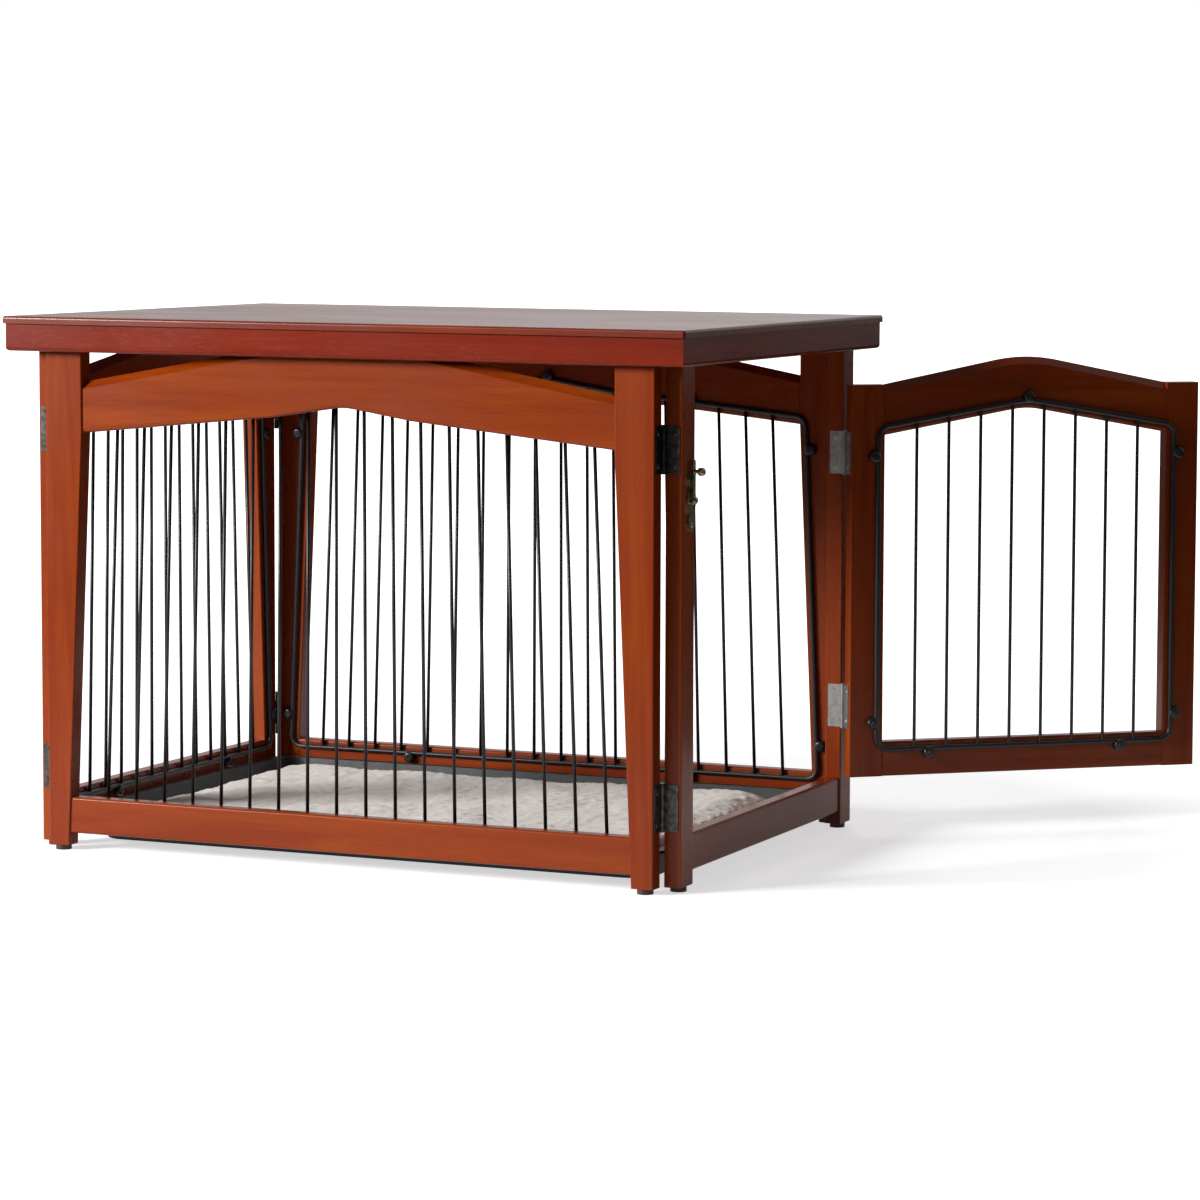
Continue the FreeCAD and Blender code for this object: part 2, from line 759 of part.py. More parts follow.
def make_panels(clip):
    front = Wall("XZ_Plane", -1, ZERO, -box_half_depth)
    back = Wall("XZ_Plane", 1, ZERO, box_half_depth)
    left = Wall("YZ_Plane", -1, -box_half_length, ZERO)
    right = Wall("YZ_Plane", 1, box_half_length, ZERO)
    make_framed_panel("front", front, post_side, "long", clip, "left", "right")
    make_framed_panel("back", back, post_side, "long", clip, "left", "right")
    make_framed_panel("left_end", left, end_side, "end", clip, "front", "back")
    make_straight_post("right_end_post_front", right, end_side, -1)
    make_straight_post("right_end_post_back", right, end_side, 1)
    opening = end_side - size("doorway_post_width")
    make_straight_rail("right_end_bottom_rail", right, -opening, opening, size("rail_bottom"), rail_top,
                       rail_recess, size("rail_thickness"))


# ---------------------------------------------------------------- door
def make_door(clip):
    wall = Wall("YZ_Plane", 1, hinge_x, hinge_y, size("door_open_angle"))
    centre = -(door_near + door_width / 2)
    half = door_width / 2
    stile = size("door_stile_width")
    opening = half - stile
    low, high = size("door_bottom"), door_top
    depth = barrel_r
    recess = depth + rail_recess
    upright = [(size("post_round"), is_upright)]
    for name, near in (("door_stile_hinge", centre + half), ("door_stile_latch", centre - opening)):
        corners = [(near - stile, low), (near, low), (near, high), (near - stile, high)]
        make_board(name, wall, corners, depth, post_t, upright)
    arch_low = (apron_bottom - size("door_low_drop"), apron_bottom - size("door_low_crest_drop"),
                size("door_low_curve"))
    arch_high = (door_top, apron_bottom - size("door_high_crest_drop"), size("door_high_curve"))
    make_arch_rail("door_arch_rail", wall, centre, opening, arch_low, arch_high, recess,
                   size("rail_thickness"))
    rail_high = low + size("door_rail_height")
    make_straight_rail("door_bottom_rail", wall, centre - opening, centre + opening, low, rail_high,
                       recess, size("rail_thickness"))

    inset = size("rod_inset")
    low_rod = rail_high - inset
    side = opening + inset
    loop = grille_loop(centre, side, side, low_rod, arch_low)
    rod_at = depth + rod_depth
    make_grille("door_grille", wall, centre, loop, low_rod, size("door_bar_pitch"),
                size("door_bar_count"), rod_at)
    slope = (arch_low[1].value - arch_low[0].value) / opening.value
    sag = arch_low[2] * (math.hypot(1, slope) - 1)
    crest = arch_low[1] + inset - sag
    sides = [(size("door_clip_low"), side), (apron_bottom - size("door_clip_high_drop"), side)]
    spots = clip_spots(wall, centre, sides, 0, size("door_clip_reach"), low_rod, crest, None,
                       side, arch_low[1] - arch_low[0])
    make_clips("door_grille_clips", wall, clip, depth + post_t, spots)


# ---------------------------------------------------------------- hinges
def make_leaf_master(name, side, own_knuckles):
    """A hinge leaf with its barrel on the Z axis: the plate runs towards -X, on the +Y or -Y side."""
    knuckles = 5
    pitch = size("hinge_height") / knuckles
    seat, thickness = leaf_seat, size("leaf_thickness")
    low_y = seat - thickness if side > 0 else -seat
    gap = barrel_r + size("knuckle_play")
    plate = doc.addObject("Part::Box", f"{name}_plate")
    plate.setExpression("Length", (size("leaf_width") - gap).text)
    plate.setExpression("Width", thickness.text)
    plate.setExpression("Height", size("hinge_height").text)
    set_place(plate, -size("leaf_width"), low_y, ZERO)
    pieces = [plate]
    for index in own_knuckles:
        low = pitch * index + size("knuckle_play") / 2
        length = pitch - size("knuckle_play")
        tab = doc.addObject("Part::Box", f"{name}_tab_{index}")
        tab.setExpression("Length", gap.text)
        tab.setExpression("Width", thickness.text)
        tab.setExpression("Height", length.text)
        set_place(tab, -gap, low_y, low)
        barrel = doc.addObject("Part::Cylinder", f"{name}_barrel_{index}")
        barrel.setExpression("Radius", barrel_r.text)
        barrel.setExpression("Height", length.text)
        set_place(barrel, ZERO, ZERO, low)
        pieces += [tab, barrel]
    joined = doc.addObject("Part::MultiFuse", f"{name}_joined")
    joined.Shapes = pieces
    bore = doc.addObject("Part::Cylinder", f"{name}_bore")
    bore.setExpression("Radius", (size("pin_diameter") / 2 + size("pin_play")).text)
    bore.setExpression("Height", size("hinge_height").text)
    leaf = doc.addObject("Part::Cut", name)
    leaf.Base = joined
    leaf.Tool = bore
    doc.recompute()
    return leaf


def make_pin_master():
    """A pin with a flat head at each end, on the Z axis."""
    shank = doc.addObject("Part::Cylinder", "pin_shank")
    shank.setExpression("Radius", (size("pin_diameter") / 2).text)
    shank.setExpression("Height", size("hinge_height").text)
    heads = []
    for name, low in (("pin_foot", -size("pin_head_height")), ("pin_head", size("hinge_height"))):
        head = doc.addObject("Part::Cylinder", name)
        head.setExpression("Radius", barrel_r.text)
        head.setExpression("Height", size("pin_head_height").text)
        set_place(head, ZERO, ZERO, low)
        heads.append(head)
    pin = doc.addObject("Part::MultiFuse", "pin_master")
    pin.Shapes = [shank] + heads
    doc.recompute()
    return pin


def turned(degrees):
    return FreeCAD.Rotation(Vector(0, 0, 1), degrees)


def make_hinges():
    leaves = {}
    for side, sign in (("left_hand", 1), ("right_hand", -1)):
        leaves[side, 3] = make_leaf_master(f"leaf_{side}_three", sign, (0, 2, 4))
        leaves[side, 2] = make_leaf_master(f"leaf_{side}_two", sign, (1, 3))
    pin = make_pin_master()
    seat = leaf_seat
    half = size("hinge_height") / 2
    # each corner: the signs of x and y, then the hand and turn of its two leaves
    corners = [
        (1, -1, "left_hand", 90, "right_hand", 180),
        (-1, -1, "right_hand", 90, "left_hand", 0),
        (1, 1, "right_hand", -90, "left_hand", 180),
        (-1, 1, "left_hand", -90, "right_hand", 0),
    ]
    on_long, on_end, pins = [], [], []
    for index, (along, across, long_hand, long_turn, end_hand, end_turn) in enumerate(corners):
        x = (post_side + seat) * along
        y = (end_side + seat) * across
        for level, height in (("corner_hinge_low", size("corner_hinge_low")),
                              ("corner_hinge_high", board_bottom - size("corner_hinge_high_drop"))):
            z = height - half
            places = ((leaves[long_hand, 3], long_turn, on_long, "long"),
                      (leaves[end_hand, 2], end_turn, on_end, "end"), (pin, 0, pins, "pin"))
            for master, turn, members, word in places:
                link = copy_of(master, f"{level}_{word}_{index}")
                set_place(link, x, y, z, rotation=turned(turn))
                members.append(link)
    for name, members in (("corner_hinge_leaves_long", on_long), ("corner_hinge_leaves_end", on_end),
                          ("corner_hinge_pins", pins)):
        world(group(name, members), ZERO, ZERO, ZERO)

    on_post, on_door, door_pins = [], [], []
    for level, height in (("door_hinge_low", size("door_hinge_low")),
                          ("door_hinge_high", board_bottom - size("door_hinge_high_drop"))):
        z = height - half
        for master, members, word in ((leaves["left_hand", 3], on_post, "post"),
                                      (leaves["right_hand", 2], on_door, "door"), (pin, door_pins, "pin")):
            link = copy_of(master, f"{level}_{word}")
            set_place(link, ZERO, ZERO, z)
            members.append(link)
    world(group("door_hinge_leaves_post", on_post), hinge_x, hinge_y, ZERO)
    world(group("door_hinge_pins", door_pins), hinge_x, hinge_y, ZERO)
    world(group("door_hinge_leaves_door", on_door), hinge_x, hinge_y, ZERO, size("door_open_angle"))


# ---------------------------------------------------------------- latch
def make_latch():
    """A back plate on the near doorway post, a lever on a stud, a finger knob and the keeper on the door."""
    x, y, z = box_half_length, latch_y, latch_height
    length, width, waist = size("plate_length") / 2, size("plate_width") / 2, size("plate_waist") / 2
    plate = new_body("latch_plate")
    sketch = new_sketch(plate, "YZ_Plane", "latch_plate_outline")
    lobe, hollow = size("plate_waist") * 0.3, size("plate_waist") * 0.25
    right = [(width * 0.8, length * 0.72, lobe), (waist, length * 0.42, hollow), (width, ZERO, lobe),
             (waist, -length * 0.42, hollow), (width * 0.8, -length * 0.72, lobe)]
    left = [(-a, b, c) for a, b, c in reversed(right)]
    outline = [(ZERO, length, lobe)] + right + [(ZERO, -length, lobe)] + left
    draw_loop(sketch, list(reversed(outline)))
    plate.Tip = add_pad(plate, sketch, size("plate_thickness"))
    world(plate, x, y, z)
    keep("latch_plate", plate)

    lever = new_body("latch_lever")
    sketch = new_sketch(lever, "YZ_Plane", "latch_lever_outline")
    half = size("lever_width") / 2
    tip, tail = size("lever_length"), -half * 1.4
    curve = half * 0.9
    draw_loop(sketch, [(half, tail, curve), (half, tip, curve), (-half, tip, curve), (-half, tail, curve)])
    draw_circle(sketch, ZERO, ZERO, size("stud_diameter") + size("pin_play") * 2)
    lever.Tip = add_pad(lever, sketch, size("lever_thickness"))
    world(lever, x + lever_face, y, z)
    keep("latch_lever", lever)

    stud = new_body("latch_stud")
    sketch = new_sketch(stud, "XZ_Plane", "latch_stud_profile")
    shank, head = size("stud_diameter") / 2, size("stud_head_diameter") / 2
    under = lever_top + size("lever_play") - size("plate_thickness")
    over = under + size("stud_head_height")
    draw_loop(sketch, [(ZERO, ZERO), (ZERO, shank), (under, shank), (under, head),
                       (over, head, head * 0.6), (over, ZERO)])
    turn_about_x(stud, sketch)
    world(stud, x + size("plate_thickness"), y, z)
    keep("latch_stud", stud)

    knob = new_body("latch_knob")
    sketch = new_sketch(knob, "XZ_Plane", "latch_knob_profile")
    stem, ball = size("knob_stem_diameter") / 2, size("knob_diameter") / 2
    start, end = size("knob_stem_length"), size("knob_stem_length") + size("knob_diameter") * 0.85
    draw_loop(sketch, [(ZERO, ZERO), (ZERO, stem), (start, stem), (start, ball, ball * 0.4),
                       (end, ball, ball * 0.6), (end, ZERO)])
    turn_about_x(knob, sketch)
    world(knob, x + lever_top, y, z + size("knob_reach"))
    keep("latch_knob", knob)

    keeper = new_body("latch_keeper")
    sketch = new_sketch(keeper, "XZ_Plane", "latch_keeper_profile", size("keeper_width") / 2)
    thick = size("keeper_thickness")
    ledge = -half - size("keeper_play")
    back = size("keeper_height") / 2
    lip = ledge + size("keeper_lip_height")
    front = keeper_front
    draw_loop(sketch, [(ZERO, -back), (thick, -back), (thick, ledge - thick), (front, ledge - thick),
                       (front, lip), (keeper_lip, lip), (keeper_lip, ledge), (thick, ledge),
                       (thick, back), (ZERO, back)])
    keeper.Tip = add_pad(keeper, sketch, size("keeper_width"), True)
    return keeper


def turn_about_x(body, sketch):
    lathe = body.newObject("PartDesign::Revolution", f"{sketch.Name}_turned")
    lathe.Profile = sketch
    lathe.ReferenceAxis = (sketch, ["H_Axis"])
    lathe.Angle = 360
    body.Tip = lathe
    doc.recompute()


def hang_keeper(keeper):
    """The keeper sits on the door's outer face, where the lever's tip comes down when the door is shut."""
    angle = open_angle
    out, along = -barrel_r, -keeper_reach
    x = hinge_x + out * cosine(angle) - along * sine(angle)
    y = hinge_y + out * sine(angle) + along * cosine(angle)
    world(keeper, x, y, latch_height, angle)
    keep("latch_keeper", keeper)


# ---------------------------------------------------------------- tray, cleats, pad and glides
def rounded_rectangle(half_x, half_y, radius):
    return [(-half_x, -half_y, radius), (half_x, -half_y, radius), (half_x, half_y, radius),
            (-half_x, half_y, radius)]


def make_tray():
    """A tray pressed from sheet: sloping walls, rounded corners and a flat rim that hangs on the cleats."""
    rim_x = box_half_length - post_t - size("tray_rim_gap")
    rim_y = box_half_depth - post_t - size("tray_rim_gap")
    mouth_x, mouth_y = rim_x - size("tray_rim_width"), rim_y - size("tray_rim_width")
    base_x, base_y = mouth_x - size("tray_slope"), mouth_y - size("tray_slope")
    wall, corner = size("tray_wall"), size("tray_corner")
    height = size("tray_rim_height") - size("tray_bottom")
    body = new_body("tray")

    def section(name, half_x, half_y, radius, level):
        sketch = new_sketch(body, "XY_Plane", name, level)
        draw_loop(sketch, rounded_rectangle(half_x, half_y, radius))
        sketch.Visibility = False
        return sketch

    outer_low = section("tray_outer_low", base_x, base_y, corner, ZERO)
    outer_high = section("tray_outer_high", mouth_x, mouth_y, corner, height)
    shell = body.newObject("PartDesign::AdditiveLoft", "tray_shell")
    shell.Profile = outer_low
    shell.Sections = [outer_high]
    shell.Ruled = True
    doc.recompute()
    rim = section("tray_rim_outline", rim_x, rim_y, corner, height - size("tray_rim_thickness"))
    brim = body.newObject("PartDesign::Pad", "tray_rim")
    brim.Profile = rim
    brim.Length = size("tray_rim_thickness").value
    brim.setExpression("Length", size("tray_rim_thickness").text)
    doc.recompute()
    inner_low = section("tray_inner_low", base_x - wall, base_y - wall, corner - wall, wall)
    inner_high = section("tray_inner_high", mouth_x - wall, mouth_y - wall, corner - wall, height)
    hollow = body.newObject("PartDesign::SubtractiveLoft", "tray_hollow")
    hollow.Profile = inner_low
    hollow.Sections = [inner_high]
    hollow.Ruled = True
    body.Tip = hollow
    doc.recompute()
    world(body, ZERO, ZERO, size("tray_bottom"))
    keep("tray", body)

    cleat_top = size("tray_rim_height") - size("tray_rim_thickness")
    inner = box_half_depth - post_t
    for name, y in (("tray_cleat_front", -inner), ("tray_cleat_back", inner - size("cleat_depth"))):
        cleat = doc.addObject("Part::Box", name)
        cleat.setExpression("Length", size("cleat_length").text)
        cleat.setExpression("Width", size("cleat_depth").text)
        cleat.setExpression("Height", size("cleat_height").text)
        world(cleat, -size("cleat_length") / 2, y, cleat_top - size("cleat_height"))
        keep(name, cleat)
    return base_x - wall - size("pad_gap"), base_y - wall - size("pad_gap")


def make_pad(half_x, half_y):
    """A fleece pad: drawn in at its foot and its edge, and crowned on top."""
    body = new_body("fleece_pad")
    draw_in, corner = size("pad_draw_in"), size("pad_corner")
    levels = [
        (ZERO, draw_in),
        (size("pad_height") * 0.3, ZERO),
        (size("pad_height") * 0.6, ZERO),
        (size("pad_height") * 0.9, draw_in),
        (size("pad_height") + size("pad_crown"), draw_in * 8),
    ]
    sections = []
    for index, (level, inwards) in enumerate(levels):
        sketch = new_sketch(body, "XY_Plane", f"pad_section_{index}", level)
        draw_loop(sketch, rounded_rectangle(half_x - inwards, half_y - inwards, corner))
        sections.append(sketch)
    loft = body.newObject("PartDesign::AdditiveLoft", "pad_loft")
    loft.Profile = sections[0]
    loft.Sections = sections[1:]
    loft.Ruled = True
    body.Tip = loft
    doc.recompute()
    rest = size("tray_bottom") + size("tray_wall") + 0.3
    world(body, ZERO, ZERO, rest)
    keep("fleece_pad", body)


def make_glides():
    """Round floor glides, one under each post."""
    disc = doc.addObject("Part::Cylinder", "glide_disc")
    disc.setExpression("Radius", (size("glide_diameter") / 2).text)
    disc.setExpression("Height", size("glide_height").text)
    doc.recompute()
    tapered = size("post_foot_width") / 2
    straight = size("doorway_post_width") / 2
    long_x, long_y = post_side - tapered, box_half_depth - post_t / 2
    end_x = box_half_length - post_t / 2
    spots = [(long_x * a, long_y * b) for a in (-1, 1) for b in (-1, 1)]
    spots += [(-end_x, (end_side - tapered) * b) for b in (-1, 1)]
    spots += [(end_x, (end_side - straight) * b) for b in (-1, 1)]
    members = []
    for index, (x, y) in enumerate(spots):
        link = copy_of(disc, f"floor_glide_{index}")
        set_place(link, x, y, ZERO)
        members.append(link)
    world(group("floor_glides", members), ZERO, ZERO, ZERO)


# ---------------------------------------------------------------- the whole object
def build():
    clip = make_clip_master()
    make_table_top()
    make_panels(clip)
    make_door(clip)
    make_hinges()
    hang_keeper(make_latch())
    make_pad(*make_tray())
    make_glides()
    doc.recompute()


def check():
    """Stops before anything is written if an object failed or a sub-part is not a sound solid."""
    for item in doc.Objects:
        if "Invalid" in item.State or "Error" in item.State:
            raise RuntimeError(f"{item.Name} failed: {item.State}")
    for name, item in parts.items():
        shape = item.Shape
        if shape.isNull() or not shape.isValid() or not shape.Solids:
            raise RuntimeError(f"{name} has no valid solid")


def write():
    os.makedirs("parts", exist_ok=True)
    for name, item in parts.items():
        item.Shape.exportStep(f"parts/{name}.step")
    print(f"{len(parts)} sub-parts written")


build()
check()
write()
print(f"hinge axis x {(hinge_x + shift_x).value:.3f} y {(hinge_y + shift_y).value:.3f}")
print(f"latch stud x {(box_half_length + shift_x).value:.3f} y {(latch_y + shift_y).value:.3f}")
print(f"shift x {shift_x.value:.3f} y {shift_y.value:.3f}")
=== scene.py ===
# %% [markdown]
# # Dressing a dog crate end table
# The crate is a box of four hinged panels under a lift-off table top: stained wood frames, black wire
# grilles, a door standing open at the right end, a swing latch, and a tray with a fleece pad inside.
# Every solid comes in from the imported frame, already in its place. What is left to do here is what
# Blender is good at: grain, lacquer, plating and plastic, the screws, the soft pad, the light and the
# camera of the photograph.

# %% Load the frame
import bmesh
import bpy
import json
import math
from mathutils import Matrix, Vector, noise


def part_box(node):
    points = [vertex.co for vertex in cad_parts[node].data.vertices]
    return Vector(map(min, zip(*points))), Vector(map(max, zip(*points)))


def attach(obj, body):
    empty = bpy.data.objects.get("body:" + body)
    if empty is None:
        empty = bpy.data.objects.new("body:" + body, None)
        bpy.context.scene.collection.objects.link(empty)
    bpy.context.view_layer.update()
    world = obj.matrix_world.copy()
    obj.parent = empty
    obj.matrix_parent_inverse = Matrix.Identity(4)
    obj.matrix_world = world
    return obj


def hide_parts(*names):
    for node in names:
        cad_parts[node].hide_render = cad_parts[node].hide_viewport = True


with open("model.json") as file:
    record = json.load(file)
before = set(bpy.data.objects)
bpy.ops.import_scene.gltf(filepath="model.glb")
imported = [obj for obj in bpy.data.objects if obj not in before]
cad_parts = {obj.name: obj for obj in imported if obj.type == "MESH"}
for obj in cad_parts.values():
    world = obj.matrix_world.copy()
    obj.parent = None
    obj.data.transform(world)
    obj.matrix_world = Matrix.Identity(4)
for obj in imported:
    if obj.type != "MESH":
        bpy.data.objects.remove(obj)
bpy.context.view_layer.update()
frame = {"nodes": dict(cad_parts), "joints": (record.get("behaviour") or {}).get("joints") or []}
nodes = frame["nodes"]
MM = 0.001

# %% [markdown]
# ## Where things are
# Measurements are taken from the frame itself, so they follow it when a board changes: the middle of the
# table top is the middle of the crate, and the way the open door points comes from its joint's range.

# %% Landmarks
def middle(node):
    low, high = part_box(node)
    return (low + high) / 2


def size_of(node):
    low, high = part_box(node)
    return high - low


crate = middle("top_board")
crate.z = 0
front_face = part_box("front_post_left")[0].y
door_joint = next(joint for joint in frame["joints"] if joint["name"] == "door_hinge")
hinge = Vector(door_joint["pos_m"])
DOOR_ANGLE = -door_joint["range_deg"][0]
door_along = Vector((math.sin(math.radians(DOOR_ANGLE)), -math.cos(math.radians(DOOR_ANGLE)), 0))
door_turn = math.atan2(door_along.y, door_along.x)
print(f"crate middle {crate / MM}, door stands {DOOR_ANGLE} degrees open")

# %% [markdown]
# ## Wood grain
# The wood is close-grained and stained under clear lacquer, so its figure is quiet. It is noise pulled out
# long along the board: wide soft bands for the growth rings, hair-fine fibre, short flecks where the veneer's
# rays catch the light (dark dashes on the panels, pale ones on the veneer that are partly a painted glint),
# and a slow blotch where the stain took unevenly. All of that is one node group, so each board only says
# which way it runs and how strong its flecks are.

# %% The grain group
def new_group(name, inputs, outputs):
    group = bpy.data.node_groups.new(name, "ShaderNodeTree")
    for label, kind, default in inputs:
        socket = group.interface.new_socket(label, in_out="INPUT", socket_type=kind)
        if default is not None:
            socket.default_value = default
    for label, kind in outputs:
        group.interface.new_socket(label, in_out="OUTPUT", socket_type=kind)
    tree = Tree(group)
    return group, tree, tree.add("NodeGroupInput").outputs, tree.add("NodeGroupOutput").inputs


class Tree:
    """A short way to add nodes and to join them."""

    def __init__(self, tree):
        self.tree = tree

    def add(self, kind, **settings):
        node = self.tree.nodes.new(kind)
        for name, value in settings.items():
            setattr(node, name, value)
        return node

    def link(self, output, socket):
        self.tree.links.new(output, socket)

    def feed(self, node, **sockets):
        """Sets or joins a node's inputs by name, with _ for a space."""
        for name, value in sockets.items():
            socket = node.inputs[name.replace("_", " ")]
            if isinstance(value, bpy.types.NodeSocket):
                self.link(value, socket)
            else:
                socket.default_value = value
        return node

    def noise(self, vector, scale, detail=2.0, roughness=0.5, distortion=0.0):
        node = self.add("ShaderNodeTexNoise")
        self.feed(node, Vector=vector, Scale=scale, Detail=detail, Roughness=roughness,
                  Distortion=distortion)
        return node.outputs["Fac"]

    def stretch(self, vector, scale):
        node = self.add("ShaderNodeMapping")
        return self.feed(node, Vector=vector, Scale=scale).outputs["Vector"]

    def math(self, operation, first, second, clamp=False):
        node = self.add("ShaderNodeMath", operation=operation, use_clamp=clamp)
        for socket, value in zip(node.inputs, (first, second)):
            if isinstance(value, bpy.types.NodeSocket):
                self.link(value, socket)
            else:
                socket.default_value = value
        return node.outputs[0]

    def ramp(self, value, low, high):
        """0 below low, 1 above high, straight in between."""
        node = self.add("ShaderNodeMapRange")
        self.feed(node, Value=value, From_Min=low, From_Max=high)
        return node.outputs["Result"]

    def mix(self, factor, first, second, blend="MIX"):
        node = self.add("ShaderNodeMix", data_type="RGBA", blend_type=blend)
        for index, value in ((0, factor), (6, first), (7, second)):
            if isinstance(value, bpy.types.NodeSocket):
                self.link(value, node.inputs[index])
            else:
                node.inputs[index].default_value = value
        return node.outputs[2]


def build_grain_group():
    group, tree, given, out = new_group(
        "board grain", [("Vector", "NodeSocketVector", None)],
        [("Figure", "NodeSocketFloat"), ("Flecks and glints", "NodeSocketFloat"), ("Blotch", "NodeSocketFloat"),
         ("Height", "NodeSocketFloat")])
    vector = given["Vector"]
    rings = tree.noise(tree.stretch(vector, (1.8, 30.0, 30.0)), 1.0, detail=5.0, roughness=0.58,
                       distortion=0.9)
    fibre = tree.noise(tree.stretch(vector, (12.0, 420.0, 420.0)), 1.0, detail=4.0, roughness=0.6)
    figure = tree.math("ADD", tree.math("MULTIPLY", rings, 0.72), tree.math("MULTIPLY", fibre, 0.28))
    # Short dashes for the flecks: on the apron and the top they are coloured pale, partly as a painted glint.
    dashes = tree.noise(tree.stretch(vector, (85.0, 620.0, 620.0)), 1.0, detail=3.0, roughness=0.6)
    flecks_and_glints = tree.ramp(dashes, 0.56, 0.68)
    patch = tree.ramp(tree.noise(tree.stretch(vector, (3.2, 9.0, 9.0)), 1.0, detail=3.0), 0.40, 0.62)
    blotch = tree.noise(tree.stretch(vector, (4.0, 8.0, 8.0)), 1.0, detail=4.0, roughness=0.6)
    height = tree.math("SUBTRACT", tree.math("MULTIPLY", fibre, 0.5), tree.math("MULTIPLY", flecks_and_glints, 0.5))
    tree.link(tree.ramp(figure, 0.38, 0.62), out["Figure"])
    tree.link(tree.math("MULTIPLY", flecks_and_glints, patch), out["Flecks and glints"])
    tree.link(tree.ramp(blotch, 0.36, 0.64), out["Blotch"])
    tree.link(height, out["Height"])
    return group


board_grain = build_grain_group()

# %% [markdown]
# ## Stained boards
# Three stains show. The panels are solid wood with an orange-brown stain, the table top's apron is veneer
# with a redder stain and pale flecks that are partly ray figure and partly painted glints, and the board on
# top lies between the two. Grain runs along a board, so the same recipe is turned four ways: along X for the
# long rails, along Y for the end rails, upright for the posts, and along the open door for its rails. The
# Mapping node does the turning. The lacquer is the shader's own gloss, a little uneven with the blotch.

# %% Stains
class Stain:
    def __init__(self, dark, light, blotch, fleck_and_glint, fleck_and_glint_share):
        self.dark = (*dark, 1)
        self.light = (*light, 1)
        self.blotch = (*blotch, 1)
        self.fleck_and_glint = (*fleck_and_glint, 1)
        self.fleck_and_glint_share = fleck_and_glint_share


# The fourth colour is the flecks'. It is dark dashes on the panels; on the apron and the top it is pale ray
# figure that is partly a painted glint.
PANEL_STAIN = Stain((0.205, 0.025, 0.0016), (0.315, 0.054, 0.0045), (0.215, 0.023, 0.0014),
                    (0.110, 0.013, 0.0016), 0.28)
APRON_STAIN = Stain((0.135, 0.0085, 0.0010), (0.250, 0.0200, 0.0020), (0.165, 0.0090, 0.0010),
                    (0.480, 0.1300, 0.0500), 0.17)
TOP_STAIN = Stain((0.150, 0.0150, 0.0020), (0.230, 0.0330, 0.0050), (0.165, 0.0140, 0.0020),
                  (0.360, 0.0950, 0.0350), 0.12)


# %% Wood finishes
def new_material(name):
    material = bpy.data.materials.new(name)
    material.use_nodes = True
    tree = Tree(material.node_tree)
    shader = next(node for node in tree.tree.nodes if node.type == "BSDF_PRINCIPLED")
    place = tree.add("ShaderNodeTexCoord").outputs["Object"]
    return material, tree, shader, place


def add_bump(tree, shader, height, depth, strength=0.5):
    bump = tree.feed(tree.add("ShaderNodeBump"), Height=height, Distance=depth, Strength=strength)
    tree.link(bump.outputs["Normal"], shader.inputs["Normal"])


def wood(name, stain, turn, shift=(0, 0, 0), gloss=0.26, relief=0.30):
    material, tree, shader, place = new_material(name)
    mapping = tree.feed(tree.add("ShaderNodeMapping"), Vector=place, Rotation=turn, Location=shift)
    grain = tree.add("ShaderNodeGroup", node_tree=board_grain)
    tree.feed(grain, Vector=mapping.outputs["Vector"])
    colour = tree.mix(grain.outputs["Figure"], stain.dark, stain.light)
    colour = tree.mix(tree.math("MULTIPLY", grain.outputs["Blotch"], 0.55), colour, stain.blotch)
    # Flecks: dark on the panels, and pale on the apron and the top, where the pale colour is partly a painted
    # glint.
    colour = tree.mix(tree.math("MULTIPLY", grain.outputs["Flecks and glints"], stain.fleck_and_glint_share), colour, stain.fleck_and_glint)
    tree.link(colour, shader.inputs["Base Color"])
    rough = tree.math("ADD", 0.22, tree.math("MULTIPLY", grain.outputs["Blotch"], 0.08))
    tree.link(rough, shader.inputs["Roughness"])
    tree.feed(shader, Specular_IOR_Level=gloss)
    add_bump(tree, shader, grain.outputs["Height"], 0.12 * MM, relief)
    return material


QUARTER = math.pi / 2
wood_along_x = wood("wood along the length", PANEL_STAIN, (0, 0, 0))
wood_along_y = wood("wood along the depth", PANEL_STAIN, (0, 0, -QUARTER), (0.31, 0, 0))
wood_upright = wood("wood upright", PANEL_STAIN, (0, QUARTER, 0), (0, 0.17, 0))
wood_on_door = wood("wood along the door", PANEL_STAIN, (0, 0, -door_turn), (0.13, 0.4, 0))
apron_along_x = wood("apron veneer along the length", APRON_STAIN, (0, 0, 0), (0.52, 0, 0))
apron_along_y = wood("apron veneer along the depth", APRON_STAIN, (0, 0, -QUARTER), (0.9, 0, 0))
wood_top = wood("wood of the table top", TOP_STAIN, (0, 0, 0), (0.7, 0.2, 0), gloss=0.5, relief=0.10)

# %% [markdown]
# ## Wire, plastic and metal
# The grilles are powder coated, which leaves a fine orange peel. The clips and the tray are moulded or
# pressed plastic with a faint texture. The corner hinges are nickel with painted shade, nearly black; the
# door's are plain grey steel with bright zinc screws, and the latch is antique brass that has gone brown in
# patches.

# %% Coated wire and plastics
def speckled(name, colour, other, roughness, grain_size, depth, metallic=0.0, spread=0.1):
    """A plain finish with a fine all-over texture: two close colours, and bumps of the given size."""
    material, tree, shader, place = new_material(name)
    fine = tree.noise(place, 1.0 / grain_size, detail=3.0, roughness=0.6)
    broad = tree.noise(place, 0.12 / grain_size, detail=2.0)
    tree.link(tree.mix(tree.ramp(broad, 0.35, 0.65), colour, other), shader.inputs["Base Color"])
    rough = tree.math("ADD", roughness - spread / 2, tree.math("MULTIPLY", broad, spread))
    tree.link(rough, shader.inputs["Roughness"])
    tree.feed(shader, Metallic=metallic)
    add_bump(tree, shader, fine, depth, 0.4)
    return material


